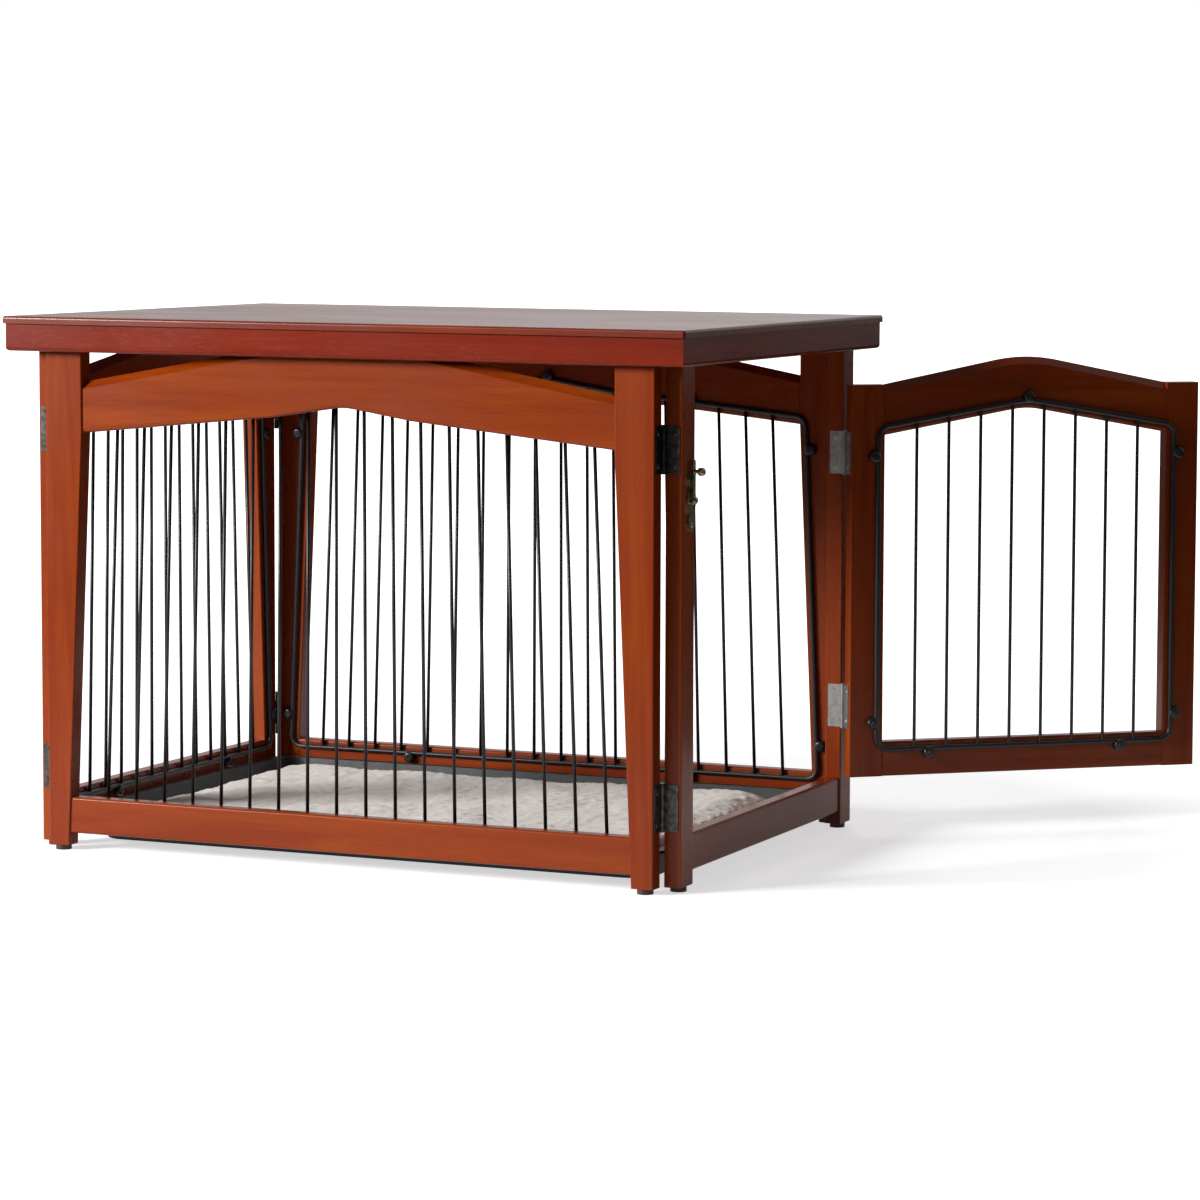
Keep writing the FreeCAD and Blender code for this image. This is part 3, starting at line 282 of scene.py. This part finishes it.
powder_coat = speckled("black powder coat", (0.008, 0.008, 0.009, 1), (0.013, 0.013, 0.015, 1),
                       0.38, 0.8 * MM, 0.06 * MM)
clip_plastic = speckled("black clip plastic", (0.010, 0.010, 0.011, 1), (0.016, 0.016, 0.018, 1),
                        0.30, 0.5 * MM, 0.03 * MM)
glide_plastic = speckled("brown glide plastic", (0.045, 0.018, 0.012, 1), (0.030, 0.012, 0.009, 1),
                         0.45, 0.6 * MM, 0.05 * MM)
tray_plastic = speckled("black tray plastic", (0.006, 0.006, 0.0065, 1), (0.010, 0.010, 0.011, 1),
                        0.52, 1.2 * MM, 0.12 * MM)

# %% Metals
def plated(name, colour, worn, roughness, scratch=0.12):
    """Brushed plate: fine streaks round the height, and tarnish in slow patches."""
    material, tree, shader, place = new_material(name)
    streaks = tree.noise(tree.stretch(place, (900.0, 900.0, 60.0)), 1.0, detail=3.0)
    patches = tree.noise(place, 160.0, detail=4.0, roughness=0.6)
    tree.link(tree.mix(tree.ramp(patches, 0.42, 0.62), colour, worn), shader.inputs["Base Color"])
    rough = tree.math("ADD", roughness, tree.math("MULTIPLY", streaks, scratch))
    tree.link(rough, shader.inputs["Roughness"])
    tree.feed(shader, Metallic=1.0)
    add_bump(tree, shader, streaks, 0.02 * MM, 0.3)
    return material


# The corner hinges' nickel is painted nearly black: painted shade for the shadowed notches between the posts,
# with lighter tarnish in patches.
nickel_painted_shade = plated("nickel darkened as painted shade", (0.065, 0.060, 0.055, 1), (0.14, 0.13, 0.12, 1), 0.26)
zinc = plated("bright zinc screws", (0.62, 0.61, 0.59, 1), (0.48, 0.47, 0.45, 1), 0.24)
hinge_steel = plated("grey hinge steel", (0.40, 0.39, 0.38, 1), (0.30, 0.29, 0.285, 1), 0.34)
antique_brass = plated("antique brass", (0.50, 0.40, 0.26, 1), (0.17, 0.13, 0.085, 1), 0.22)

# %% [markdown]
# ## Dressing the solids
# Each solid takes the finish of what it is made of. Rails and aprons are sorted by the way they run, which
# their names tell.

# %% Finishes on the frame's own solids
def finish_for(name):
    if "hinge_leaves" in name or "hinge_pins" in name:
        return hinge_steel if name.startswith("door") else nickel_painted_shade
    if name.startswith("latch"):
        return antique_brass
    if name.endswith("grille"):
        return powder_coat
    if name.endswith("clips"):
        return clip_plastic
    if name == "top_board":
        return wood_top
    if name.startswith("apron"):
        return apron_along_y if name in ("apron_left", "apron_right") else apron_along_x
    if "post" in name or "stile" in name:
        return wood_upright
    if name.startswith("door"):
        return wood_on_door
    if "end_" in name:
        return wood_along_y
    return {"tray": tray_plastic, "floor_glides": glide_plastic}.get(name, wood_along_x)


for name, item in nodes.items():
    item.data.materials.clear()
    item.data.materials.append(finish_for(name))
print("finishes:", sorted({item.data.materials[0].name for item in nodes.values()}))

# %% [markdown]
# ## Screws
# Wood screws with a shallow domed head and a cross recess hold the hinges, the latch and the clips. One is
# modelled: a disc whose rim is bevelled and whose middle is a small plus sign pushed in. It is then set in
# each place with its own turn, because nobody lines screws up.

# %% One screw head
HEAD_SIDES = 16
CROWN_SHARE = 0.72
RECESS_RIM = 0.30
CROSS_WAIST = 0.42
FIRST_TURN = 0.7
TURN_STEP = 1.31


def finished_piece(name, mesh, material, body):
    item = bpy.data.objects.new(name, mesh)
    bpy.context.scene.collection.objects.link(item)
    mesh.materials.append(material)
    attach(item, body)
    return item


def screw_head(mesh, diameter, height, place, turn):
    """Adds a screw head whose underside is at the place, its top along the place's own Z axis."""
    radius = diameter / 2
    start = len(mesh.verts)
    made = bmesh.ops.create_cone(mesh, cap_ends=True, segments=HEAD_SIDES, radius1=radius,
                                 radius2=radius * CROWN_SHARE, depth=height)
    mesh.verts.ensure_lookup_table()
    verts = made["verts"]
    bmesh.ops.translate(mesh, verts=verts, vec=(0, 0, height / 2))
    sides = {face for vert in verts for face in vert.link_faces}
    top = max(sides, key=lambda face: face.calc_center_median().z)
    ring = bmesh.ops.inset_individual(mesh, faces=[top], thickness=radius * RECESS_RIM)
    whole = {face for face in ring["faces"] + [top] if len(face.verts) == HEAD_SIDES}
    recess = min(whole, key=lambda face: face.calc_area())
    for index, vert in enumerate(recess.verts):
        spoke = 1.0 if index % 4 == 0 else CROSS_WAIST
        vert.co.x *= spoke
        vert.co.y *= spoke
    sunk = bmesh.ops.extrude_discrete_faces(mesh, faces=[recess])["faces"]
    floor = {vert for face in sunk for vert in face.verts}
    bmesh.ops.translate(mesh, verts=list(floor), vec=(0, 0, -height * 0.6))
    mesh.verts.ensure_lookup_table()
    new = [mesh.verts[index] for index in range(start, len(mesh.verts))]
    bmesh.ops.transform(mesh, matrix=place @ Matrix.Rotation(turn, 4, "Z"), verts=new)


def facing(spot, direction):
    """A place at the spot whose Z axis points in the direction."""
    return Matrix.Translation(spot) @ Vector(direction).to_track_quat("Z", "Y").to_matrix().to_4x4()


def screws(name, places, head, material, body):
    """Screws at the places, each a spot and a direction; head is a diameter and a height."""
    mesh = bmesh.new()
    for number, (spot, direction) in enumerate(places):
        screw_head(mesh, *head, facing(Vector(spot), direction), FIRST_TURN + number * TURN_STEP)
    bmesh.ops.recalc_face_normals(mesh, faces=mesh.faces)
    data = bpy.data.meshes.new(name)
    mesh.to_mesh(data)
    mesh.free()
    print(f"{name}: {len(places)} screws")
    finished_piece(name, data, material, body)


# %% [markdown]
# ## Where the hinge screws sit
# A leaf has two screws, 35 mm apart. The corner leaves sit in the open notches between the panels, one on
# the long panel's end and one on the end panel's edge, so their screws face sideways and forwards.

# %% Hinge screws
SCREW_SPAN = 17.5 * MM
LEAF = 1.2 * MM
LEAF_CENTRE = 0.45
CORNER_HEAD = (5.6 * MM, 0.9 * MM)
half_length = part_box("front_post_right")[1].x - crate.x
half_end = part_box("right_end_post_back")[1].y - crate.y
half_depth = crate.y - front_face
half_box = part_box("right_end_post_back")[1].x - crate.x
post = size_of("front_post_left").y
leaf_low, leaf_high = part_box("corner_hinge_leaves_long")
hinge_height = 50.8 * MM
levels = (leaf_low.z + hinge_height / 2, leaf_high.z - hinge_height / 2)
corner_places = []
for along in (-1, 1):
    for across in (-1, 1):
        for level in levels:
            for offset in (-SCREW_SPAN, SCREW_SPAN):
                height = level + offset
                on_long = (crate.x + along * (half_length + LEAF),
                           crate.y + across * (half_depth - post * LEAF_CENTRE), height)
                on_end = (crate.x + along * (half_box - post * LEAF_CENTRE),
                          crate.y + across * (half_end + LEAF), height)
                corner_places += [(on_long, (along, 0, 0)), (on_end, (0, across, 0))]
screws("corner_hinge_screws", corner_places, CORNER_HEAD, nickel_painted_shade, "crate")

# The shut leaves leave 0.6 mm between them, so these heads are sunk until 0.2 mm stands proud.
DOOR_HEAD = (6.2 * MM, 0.6 * MM)
SUNK = 0.4 * MM
SCREW_REACH = 11.5 * MM
WOOD_EDGE = 1.5 * MM
door_low, door_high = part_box("door_hinge_leaves_post")
door_levels = (door_low.z + hinge_height / 2, door_high.z - hinge_height / 2)
post_screws = []
door_screws = []
outwards = Vector((door_along.y, -door_along.x, 0))
for level in door_levels:
    for offset in (-SCREW_SPAN, SCREW_SPAN):
        on_post = (hinge.x - SCREW_REACH, hinge.y + WOOD_EDGE - LEAF + SUNK, level + offset)
        post_screws.append((on_post, (0, -1, 0)))
        on_door = Vector((hinge.x, hinge.y, level + offset))
        on_door += door_along * (WOOD_EDGE - LEAF + SUNK) + outwards * SCREW_REACH
        door_screws.append((on_door, -door_along))
screws("door_hinge_post_screws", post_screws, DOOR_HEAD, zinc, "crate")
screws("door_hinge_door_screws", door_screws, DOOR_HEAD, zinc, "door")

# %% [markdown]
# ## Screws in the knobs and the latch
# Each black knob is held by one screw in the middle of its crown. A knob's crown is the flat that reaches
# furthest from its panel, so the script looks for it in the node's own mesh: the mesh is copied, its loose
# triangles are merged, and the points are sorted into lumps that hang together.

# %% Finding the crowns
def lumps_of(node):
    """The points of each separate lump in a node's mesh."""
    mesh = bmesh.new()
    mesh.from_mesh(nodes[node].data)
    bmesh.ops.remove_doubles(mesh, verts=mesh.verts, dist=0.001 * MM)
    unseen = set(mesh.verts)
    lumps = []
    for seed in mesh.verts:
        if seed not in unseen:
            continue
        unseen.discard(seed)
        queue, lump = [seed], []
        while queue:
            vert = queue.pop()
            lump.append(vert.co.copy())
            for edge in vert.link_edges:
                other = edge.other_vert(vert)
                if other in unseen:
                    unseen.discard(other)
                    queue.append(other)
        lumps.append(lump)
    mesh.free()
    return lumps


def crowns(node, direction):
    """The middle of the flat that reaches furthest in the direction, on each lump."""
    places = []
    for lump in lumps_of(node):
        top = max(spot.dot(direction) for spot in lump)
        ring = [spot for spot in lump if spot.dot(direction) > top - 0.05 * MM]
        places.append((sum(ring, Vector()) / len(ring), direction))
    return places


# %% Screws on the knobs and the latch plate
KNOB_HEAD = (5.0 * MM, 0.7 * MM)
PLATE_HEAD = (5.0 * MM, 0.9 * MM)
PLATE_END = 7 * MM
KNOBS = (("front_grille_clips", Vector((0, 1, 0)), "crate"),
         ("back_grille_clips", Vector((0, -1, 0)), "crate"),
         ("left_end_grille_clips", Vector((1, 0, 0)), "crate"),
         ("door_grille_clips", outwards, "door"))
for node, direction, body in KNOBS:
    name = node.replace("clips", "knob_screws")
    screws(name, crowns(node, direction), KNOB_HEAD, clip_plastic, body)

plate_low, plate_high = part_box("latch_plate")
plate_y = (plate_low.y + plate_high.y) / 2
plate_screws = [((plate_high.x, plate_y, height), (1, 0, 0))
                for height in (plate_low.z + PLATE_END, plate_high.z - PLATE_END)]
screws("latch_plate_screws", plate_screws, PLATE_HEAD, antique_brass, "crate")

# %% [markdown]
# ## The fleece pad
# The pad is a stuffed fleece mat. Its solid in the frame is a crowned block; the real thing is softer, so it
# is blown up as cloth: a slightly smaller block is remeshed fine, given a little inside pressure, and let go
# for twenty frames, with a cap on how far a point may move. The top is then curled into tufts in the mesh
# itself, and the pile on them is a short fuzzy bump.

# %% Fleece finish
def build_fleece():
    material, tree, shader, place = new_material("beige fleece")
    tufts = tree.noise(place, 190.0, detail=5.0, roughness=0.7, distortion=0.8)
    pile = tree.noise(place, 700.0, detail=3.0, roughness=0.6)
    wear = tree.noise(place, 9.0, detail=3.0)
    colour = tree.mix(tree.ramp(tufts, 0.30, 0.58), (0.74, 0.65, 0.56, 1), (0.94, 0.885, 0.82, 1))
    colour = tree.mix(tree.math("MULTIPLY", tree.ramp(wear, 0.4, 0.7), 0.30), colour, (0.87, 0.79, 0.70, 1))
    tree.link(colour, shader.inputs["Base Color"])
    tree.feed(shader, Roughness=0.95, Sheen_Weight=0.35, Sheen_Roughness=0.5)
    height = tree.math("ADD", tufts, tree.math("MULTIPLY", pile, 0.4))
    add_bump(tree, shader, height, 1.6 * MM, 0.5)
    return material


fleece = build_fleece()

# %% The pad itself
PAD_INSET = 6 * MM
PAD_UNDER = 3 * MM
PAD_HEADROOM = 8 * MM
PAD_CORNER = 34 * MM
PAD_CAP = 7 * MM
VOXEL = 7 * MM
PRESSURE = 4.0
CLOTH_FRAMES = 20
TUFT = 5.0 * MM
TUFTS_START = 0.4
FINE_CURL = 130
BROAD_CURL = 17


def block_mesh(name, low, high, round_by):
    """A block from low to high whose upright edges are rounded."""
    mesh = bmesh.new()
    bmesh.ops.create_cube(mesh, size=1.0)
    bmesh.ops.scale(mesh, vec=high - low, verts=mesh.verts)
    bmesh.ops.translate(mesh, vec=(low + high) / 2, verts=mesh.verts)
    upright = [edge for edge in mesh.edges if abs(edge.verts[0].co.z - edge.verts[1].co.z) > 1e-6]
    bmesh.ops.bevel(mesh, geom=upright, offset=round_by, segments=5, profile=0.5, affect="EDGES",
                    material=-1)
    data = bpy.data.meshes.new(name)
    mesh.to_mesh(data)
    mesh.free()
    return data


def applied(item):
    """The item's mesh with its modifiers applied."""
    graph = bpy.context.evaluated_depsgraph_get()
    graph.update()
    return bpy.data.meshes.new_from_object(item.evaluated_get(graph))


def make_pad():
    low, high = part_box("fleece_pad")
    inner_low = low + Vector((PAD_INSET, PAD_INSET, PAD_UNDER))
    inner_high = high - Vector((PAD_INSET, PAD_INSET, PAD_HEADROOM))
    data = block_mesh("fleece pad", inner_low, inner_high, PAD_CORNER)
    block = bpy.data.objects.new("pad block", data)
    bpy.context.scene.collection.objects.link(block)
    remesh = block.modifiers.new("fine mesh", "REMESH")
    remesh.mode = "VOXEL"
    remesh.voxel_size = VOXEL
    fine = applied(block)
    bpy.data.objects.remove(block)
    rest = [vert.co.copy() for vert in fine.vertices]
    pad = bpy.data.objects.new("fleece_mat", fine)
    bpy.context.scene.collection.objects.link(pad)
    blow_up(pad)
    fine = pad.data
    for vert, start in zip(fine.vertices, rest):
        move = vert.co - start
        if move.length > PAD_CAP:
            move *= PAD_CAP / move.length
        vert.co = start + move
    smoother = pad.modifiers.new("finer", "SUBSURF")
    smoother.levels = smoother.render_levels = 1
    pad.data = fine = applied(pad)
    pad.modifiers.remove(smoother)
    for vert in fine.vertices:
        if vert.co.z > low.z + (high.z - low.z) * TUFTS_START:
            curl = noise.noise(vert.co * FINE_CURL) * 0.3 + noise.noise(vert.co * BROAD_CURL) * 0.7
            vert.co.z += curl * TUFT
        vert.co.z = max(vert.co.z, low.z)
    fine.materials.append(fleece)
    fine.polygons.foreach_set("use_smooth", [True] * len(fine.polygons))
    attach(pad, "tray")
    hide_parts("fleece_pad")
    print(f"pad: {len(fine.vertices)} points")


def blow_up(pad):
    """Lets inside pressure swell the pad's mesh."""
    cloth = pad.modifiers.new("cloth", "CLOTH")
    cloth.settings.use_pressure = True
    cloth.settings.uniform_pressure_force = PRESSURE
    cloth.settings.effector_weights.gravity = 0
    cloth.point_cache.frame_start = 1
    cloth.point_cache.frame_end = CLOTH_FRAMES
    for number in range(1, CLOTH_FRAMES + 1):
        bpy.context.scene.frame_set(number)
    swollen = applied(pad)
    pad.modifiers.remove(cloth)
    pad.data = swollen
    bpy.context.scene.frame_set(1)


make_pad()

# %% [markdown]
# ## Grilles whose bars fan out
# On the real panels the bars aren't quite parallel: they spread towards the bottom, as the tapered opening
# does. The frame's grilles have upright bars, so the three tapered ones are made again here, with bars that
# keep their share of the width between the rod's two sides. The rod is a tube along a flat outline whose
# corners are bevelled round, and the bars are thin cylinders from its lower run to its upper run.

# %% The rod's outline
ROD_RADIUS = 3 * MM
BAR_RADIUS = 2 * MM
ROD_FOOT = 52.5 * MM
ROD_SHOULDER = 487.5 * MM
FOOT_BEND = 14 * MM
SHOULDER_BEND = 12 * MM
UPPER_HALF = 400 * MM
# The sides lean, so the rod is widest just above its rounded foot, this much less than at the sharp corner.
CORNER_LEAN = 0.4 * MM
LONG_GRILLE = {"top": 339 * MM, "crest": 525.3 * MM, "curve": 14 * MM, "knee": (85 * MM, 512 * MM),
               "bars": 18, "pitch": 36.8 * MM}
END_GRILLE = {"top": 219 * MM, "crest": 525.6 * MM, "curve": 17 * MM, "knee": None,
              "bars": 12, "pitch": 35 * MM}


def rod_outline(foot, sizes):
    """The rod's middle line as flat points (u, height), corners rounded, in order round the loop."""
    corners = [(foot, ROD_FOOT, FOOT_BEND), (sizes["top"], ROD_SHOULDER, SHOULDER_BEND)]
    if sizes["knee"]:
        corners.append((*sizes["knee"], 0))
    corners.append((0, sizes["crest"], sizes["curve"]))
    corners += [(-u, height, run) for u, height, run in reversed(corners[:-1])]
    mesh = bmesh.new()
    points = [mesh.verts.new((u, height, 0)) for u, height, run in corners]
    mesh.faces.new(points)
    for point, (u, height, run) in zip(points, corners):
        if run:
            bmesh.ops.bevel(mesh, geom=[point], offset=run, segments=6, profile=0.5, affect="VERTICES",
                            material=-1)
    mesh.faces.ensure_lookup_table()
    outline = [(vert.co.x, vert.co.y) for vert in mesh.faces[0].verts]
    mesh.free()
    return outline


def top_of(outline, u):
    """The height of the outline's upper run at u."""
    for (u_0, height_0), (u_1, height_1) in zip(outline, outline[1:] + outline[:1]):
        spans = min(u_0, u_1) <= u <= max(u_0, u_1) and u_0 != u_1
        if spans and min(height_0, height_1) > UPPER_HALF:
            return height_0 + (height_1 - height_0) * (u - u_0) / (u_1 - u_0)


# %% Rod and bars
def tube(points, radius):
    """The mesh of a closed tube through the points."""
    line = bpy.data.curves.new("rod line", "CURVE")
    line.dimensions = "3D"
    run = line.splines.new("POLY")
    run.points.add(len(points) - 1)
    for point, place in zip(run.points, points):
        point.co = (*place, 1)
    run.use_cyclic_u = True
    line.bevel_depth = radius
    line.bevel_resolution = 3
    item = bpy.data.objects.new("rod line", line)
    bpy.context.scene.collection.objects.link(item)
    mesh = applied(item)
    bpy.data.objects.remove(item)
    return mesh


def bar(mesh, start, end):
    place = facing((start + end) / 2, end - start)
    bmesh.ops.create_cone(mesh, cap_ends=True, segments=12, radius1=BAR_RADIUS, radius2=BAR_RADIUS,
                          depth=(end - start).length, matrix=place)


def make_grille(node, sizes, place):
    """Builds one grille; place turns (u, height) into a spot in the frame."""
    low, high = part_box(node)
    foot = max(high.x - low.x, high.y - low.y) / 2 - ROD_RADIUS + CORNER_LEAN
    outline = rod_outline(foot, sizes)
    mesh = bmesh.new()
    mesh.from_mesh(tube([place(u, height) for u, height in outline], ROD_RADIUS))
    lean = (foot - sizes["top"]) / (ROD_SHOULDER - ROD_FOOT) / foot
    for number in range(sizes["bars"]):
        u_foot = sizes["pitch"] * (number - (sizes["bars"] - 1) / 2)
        u_top, height = u_foot, ROD_SHOULDER
        for _ in range(3):
            height = top_of(outline, u_top)
            u_top = u_foot * (1 - lean * (height - ROD_FOOT))
        bar(mesh, Vector(place(u_foot, ROD_FOOT)), Vector(place(u_top, height)))
    bmesh.ops.recalc_face_normals(mesh, faces=mesh.faces)
    data = bpy.data.meshes.new(node + "_fanned")
    mesh.to_mesh(data)
    mesh.free()
    data.polygons.foreach_set("use_smooth", [True] * len(data.polygons))
    piece = finished_piece(node + "_fanned", data, powder_coat, "crate")
    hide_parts(node)
    print(f"{node}: {sizes['bars']} bars, leaning {lean * foot:.4f} at the sides")


front_depth = middle("front_grille").y
back_depth = middle("back_grille").y
end_depth = middle("left_end_grille").x
make_grille("front_grille", LONG_GRILLE, lambda u, height: (crate.x + u, front_depth, height))
make_grille("back_grille", LONG_GRILLE, lambda u, height: (crate.x + u, back_depth, height))
make_grille("left_end_grille", END_GRILLE, lambda u, height: (end_depth, crate.y + u, height))

# %% [markdown]
# ## Floor, light and camera
# The photograph is a cut-out on white, lit softly from the front left: front faces glow, faces that look
# right are nearly black. A large soft lamp on the left front does that, a second one lights the back, and a
# weak world fills in. White behind the crate comes from the world and the floor as the camera sees them, not
# from more light. Lacquer mirrors the white sweep behind the crate and the floor near it, but a dark room
# in front of it, which keeps the front faces' colour deep.

# %% Floor and world
AMBIENT = 0.11
FLOOR_LIFT = 0.60
FLOOR_REACH = 30.0
FLOOR_DROP = 0.2 * MM
SWEEP_EDGE = (1.0, 1.9)
GLOW_EDGE = (0.8, 1.7)
NEAR_FLOOR = (0.86, 0.86, 0.86, 1)
FAR_FLOOR = (0.03, 0.03, 0.03, 1)
BACKDROP_IN_GLOSS = 0.62


def build_floor():
    mesh = bmesh.new()
    bmesh.ops.create_grid(mesh, x_segments=1, y_segments=1, size=FLOOR_REACH)
    bmesh.ops.translate(mesh, vec=(0, 0, -FLOOR_DROP), verts=mesh.verts)
    data = bpy.data.meshes.new("studio floor")
    mesh.to_mesh(data)
    mesh.free()
    floor = bpy.data.objects.new("studio floor", data)
    bpy.context.scene.collection.objects.link(floor)
    material, tree, shader, place = new_material("floor white")
    tree.feed(shader, Roughness=0.9, Specular_IOR_Level=0.1)
    centred = tree.feed(tree.add("ShaderNodeMapping"), Vector=place, Location=-crate).outputs["Vector"]
    length = tree.feed(tree.add("ShaderNodeVectorMath", operation="LENGTH"), Vector=centred)
    distance = length.outputs["Value"]
    start, end = SWEEP_EDGE
    sweep = tree.mix(tree.ramp(distance, start, end), NEAR_FLOOR, FAR_FLOOR)
    tree.link(sweep, shader.inputs["Base Color"])
    path = tree.add("ShaderNodeLightPath")
    to_camera = tree.math("ADD", FLOOR_LIFT, tree.ramp(distance, *GLOW_EDGE))
    to_gloss = tree.math("MULTIPLY", tree.ramp(distance, end, start), FLOOR_LIFT * 0.5)
    glow = tree.math("ADD", tree.math("MULTIPLY", path.outputs["Is Camera Ray"], to_camera),
                     tree.math("MULTIPLY", path.outputs["Is Glossy Ray"], to_gloss))
    tree.feed(shader, Emission_Color=(1, 1, 1, 1), Emission_Strength=glow)
    data.materials.append(material)


def build_world():
    world = bpy.data.worlds.new("studio")
    world.use_nodes = True
    bpy.context.scene.world = world
    tree = Tree(world.node_tree)
    background = next(node for node in tree.tree.nodes if node.type == "BACKGROUND")
    direction = tree.add("ShaderNodeTexCoord").outputs["Generated"]
    ways = tree.feed(tree.add("ShaderNodeSeparateXYZ"), Vector=direction)
    behind = tree.ramp(ways.outputs["Y"], -0.1, 0.6)
    path = tree.add("ShaderNodeLightPath")
    mirrored = tree.math("MAXIMUM", path.outputs["Is Glossy Ray"], path.outputs["Is Transmission Ray"])
    mirrored = tree.math("MULTIPLY", mirrored, tree.math("MULTIPLY", behind, BACKDROP_IN_GLOSS))
    seen = tree.math("MAXIMUM", path.outputs["Is Camera Ray"], mirrored)
    strength = tree.math("ADD", AMBIENT, tree.math("MULTIPLY", seen, 1.0 - AMBIENT))
    tree.link(strength, background.inputs["Strength"])
    background.inputs["Color"].default_value = (1, 1, 1, 1)


build_floor()
build_world()

# %% Lamps
aim = crate + Vector((0, 0, 0.3))


def lamp(name, place, power, width, height):
    light = bpy.data.lights.new(name, "AREA")
    light.energy = power
    light.shape = "RECTANGLE"
    light.size = width
    light.size_y = height
    item = bpy.data.objects.new(name, light)
    bpy.context.scene.collection.objects.link(item)
    item.location = place
    item.rotation_mode = "QUATERNION"
    item.rotation_quaternion = (aim - item.location).to_track_quat("-Z", "Y")


lamp("front left lamp", crate + Vector((-4.1, -4.1, 2.1)), 560, 2.0, 1.5)
lamp("back lamp", crate + Vector((-1.0, 3.4, 3.2)), 26, 1.6, 1.2)

# %% [markdown]
# ## The photograph's camera
# A long lens from a few metres away, a little above the table and turned towards the doorway. Its place
# and lens were found by matching the crate's corners with the picture. The crate isn't in the middle of the
# picture, so the lens is shifted sideways, as a view camera's is.

# %% Camera
PICTURE = 1200
LENS_PIXELS = 3997.0
AXIS_PIXEL = (787.9, 535.5)
CAMERA_YAW, CAMERA_PITCH, CAMERA_ROLL = 21.70, 4.98, 0.39
CAMERA_OFFSET = Vector((2.0822, -3.8982, 0.7611))


def build_camera():
    yaw, pitch, roll = (math.radians(angle) for angle in (CAMERA_YAW, CAMERA_PITCH, CAMERA_ROLL))
    ahead = Vector((-math.sin(yaw) * math.cos(pitch), math.cos(yaw) * math.cos(pitch), -math.sin(pitch)))
    right = Vector((math.cos(yaw), math.sin(yaw), 0))
    up = right.cross(ahead)
    across = right * math.cos(roll) + up * math.sin(roll)
    upward = up * math.cos(roll) - right * math.sin(roll)
    turn = Matrix((across, upward, -ahead)).transposed().to_4x4()
    data = bpy.data.cameras.new("photograph")
    data.sensor_width = 36.0
    data.lens = LENS_PIXELS / PICTURE * data.sensor_width
    data.shift_x = (PICTURE / 2 - AXIS_PIXEL[0]) / PICTURE
    data.shift_y = (AXIS_PIXEL[1] - PICTURE / 2) / PICTURE
    data.clip_end = 100
    camera = bpy.data.objects.new("photograph", data)
    bpy.context.scene.collection.objects.link(camera)
    origin = Vector((crate.x, front_face, 0))
    camera.matrix_world = Matrix.Translation(origin + CAMERA_OFFSET) @ turn
    bpy.context.scene.camera = camera
    print(f"lens {data.lens:.1f} mm, shift {data.shift_x:.3f}, {data.shift_y:.3f}")


build_camera()
bpy.context.scene.view_settings.view_transform = "Standard"
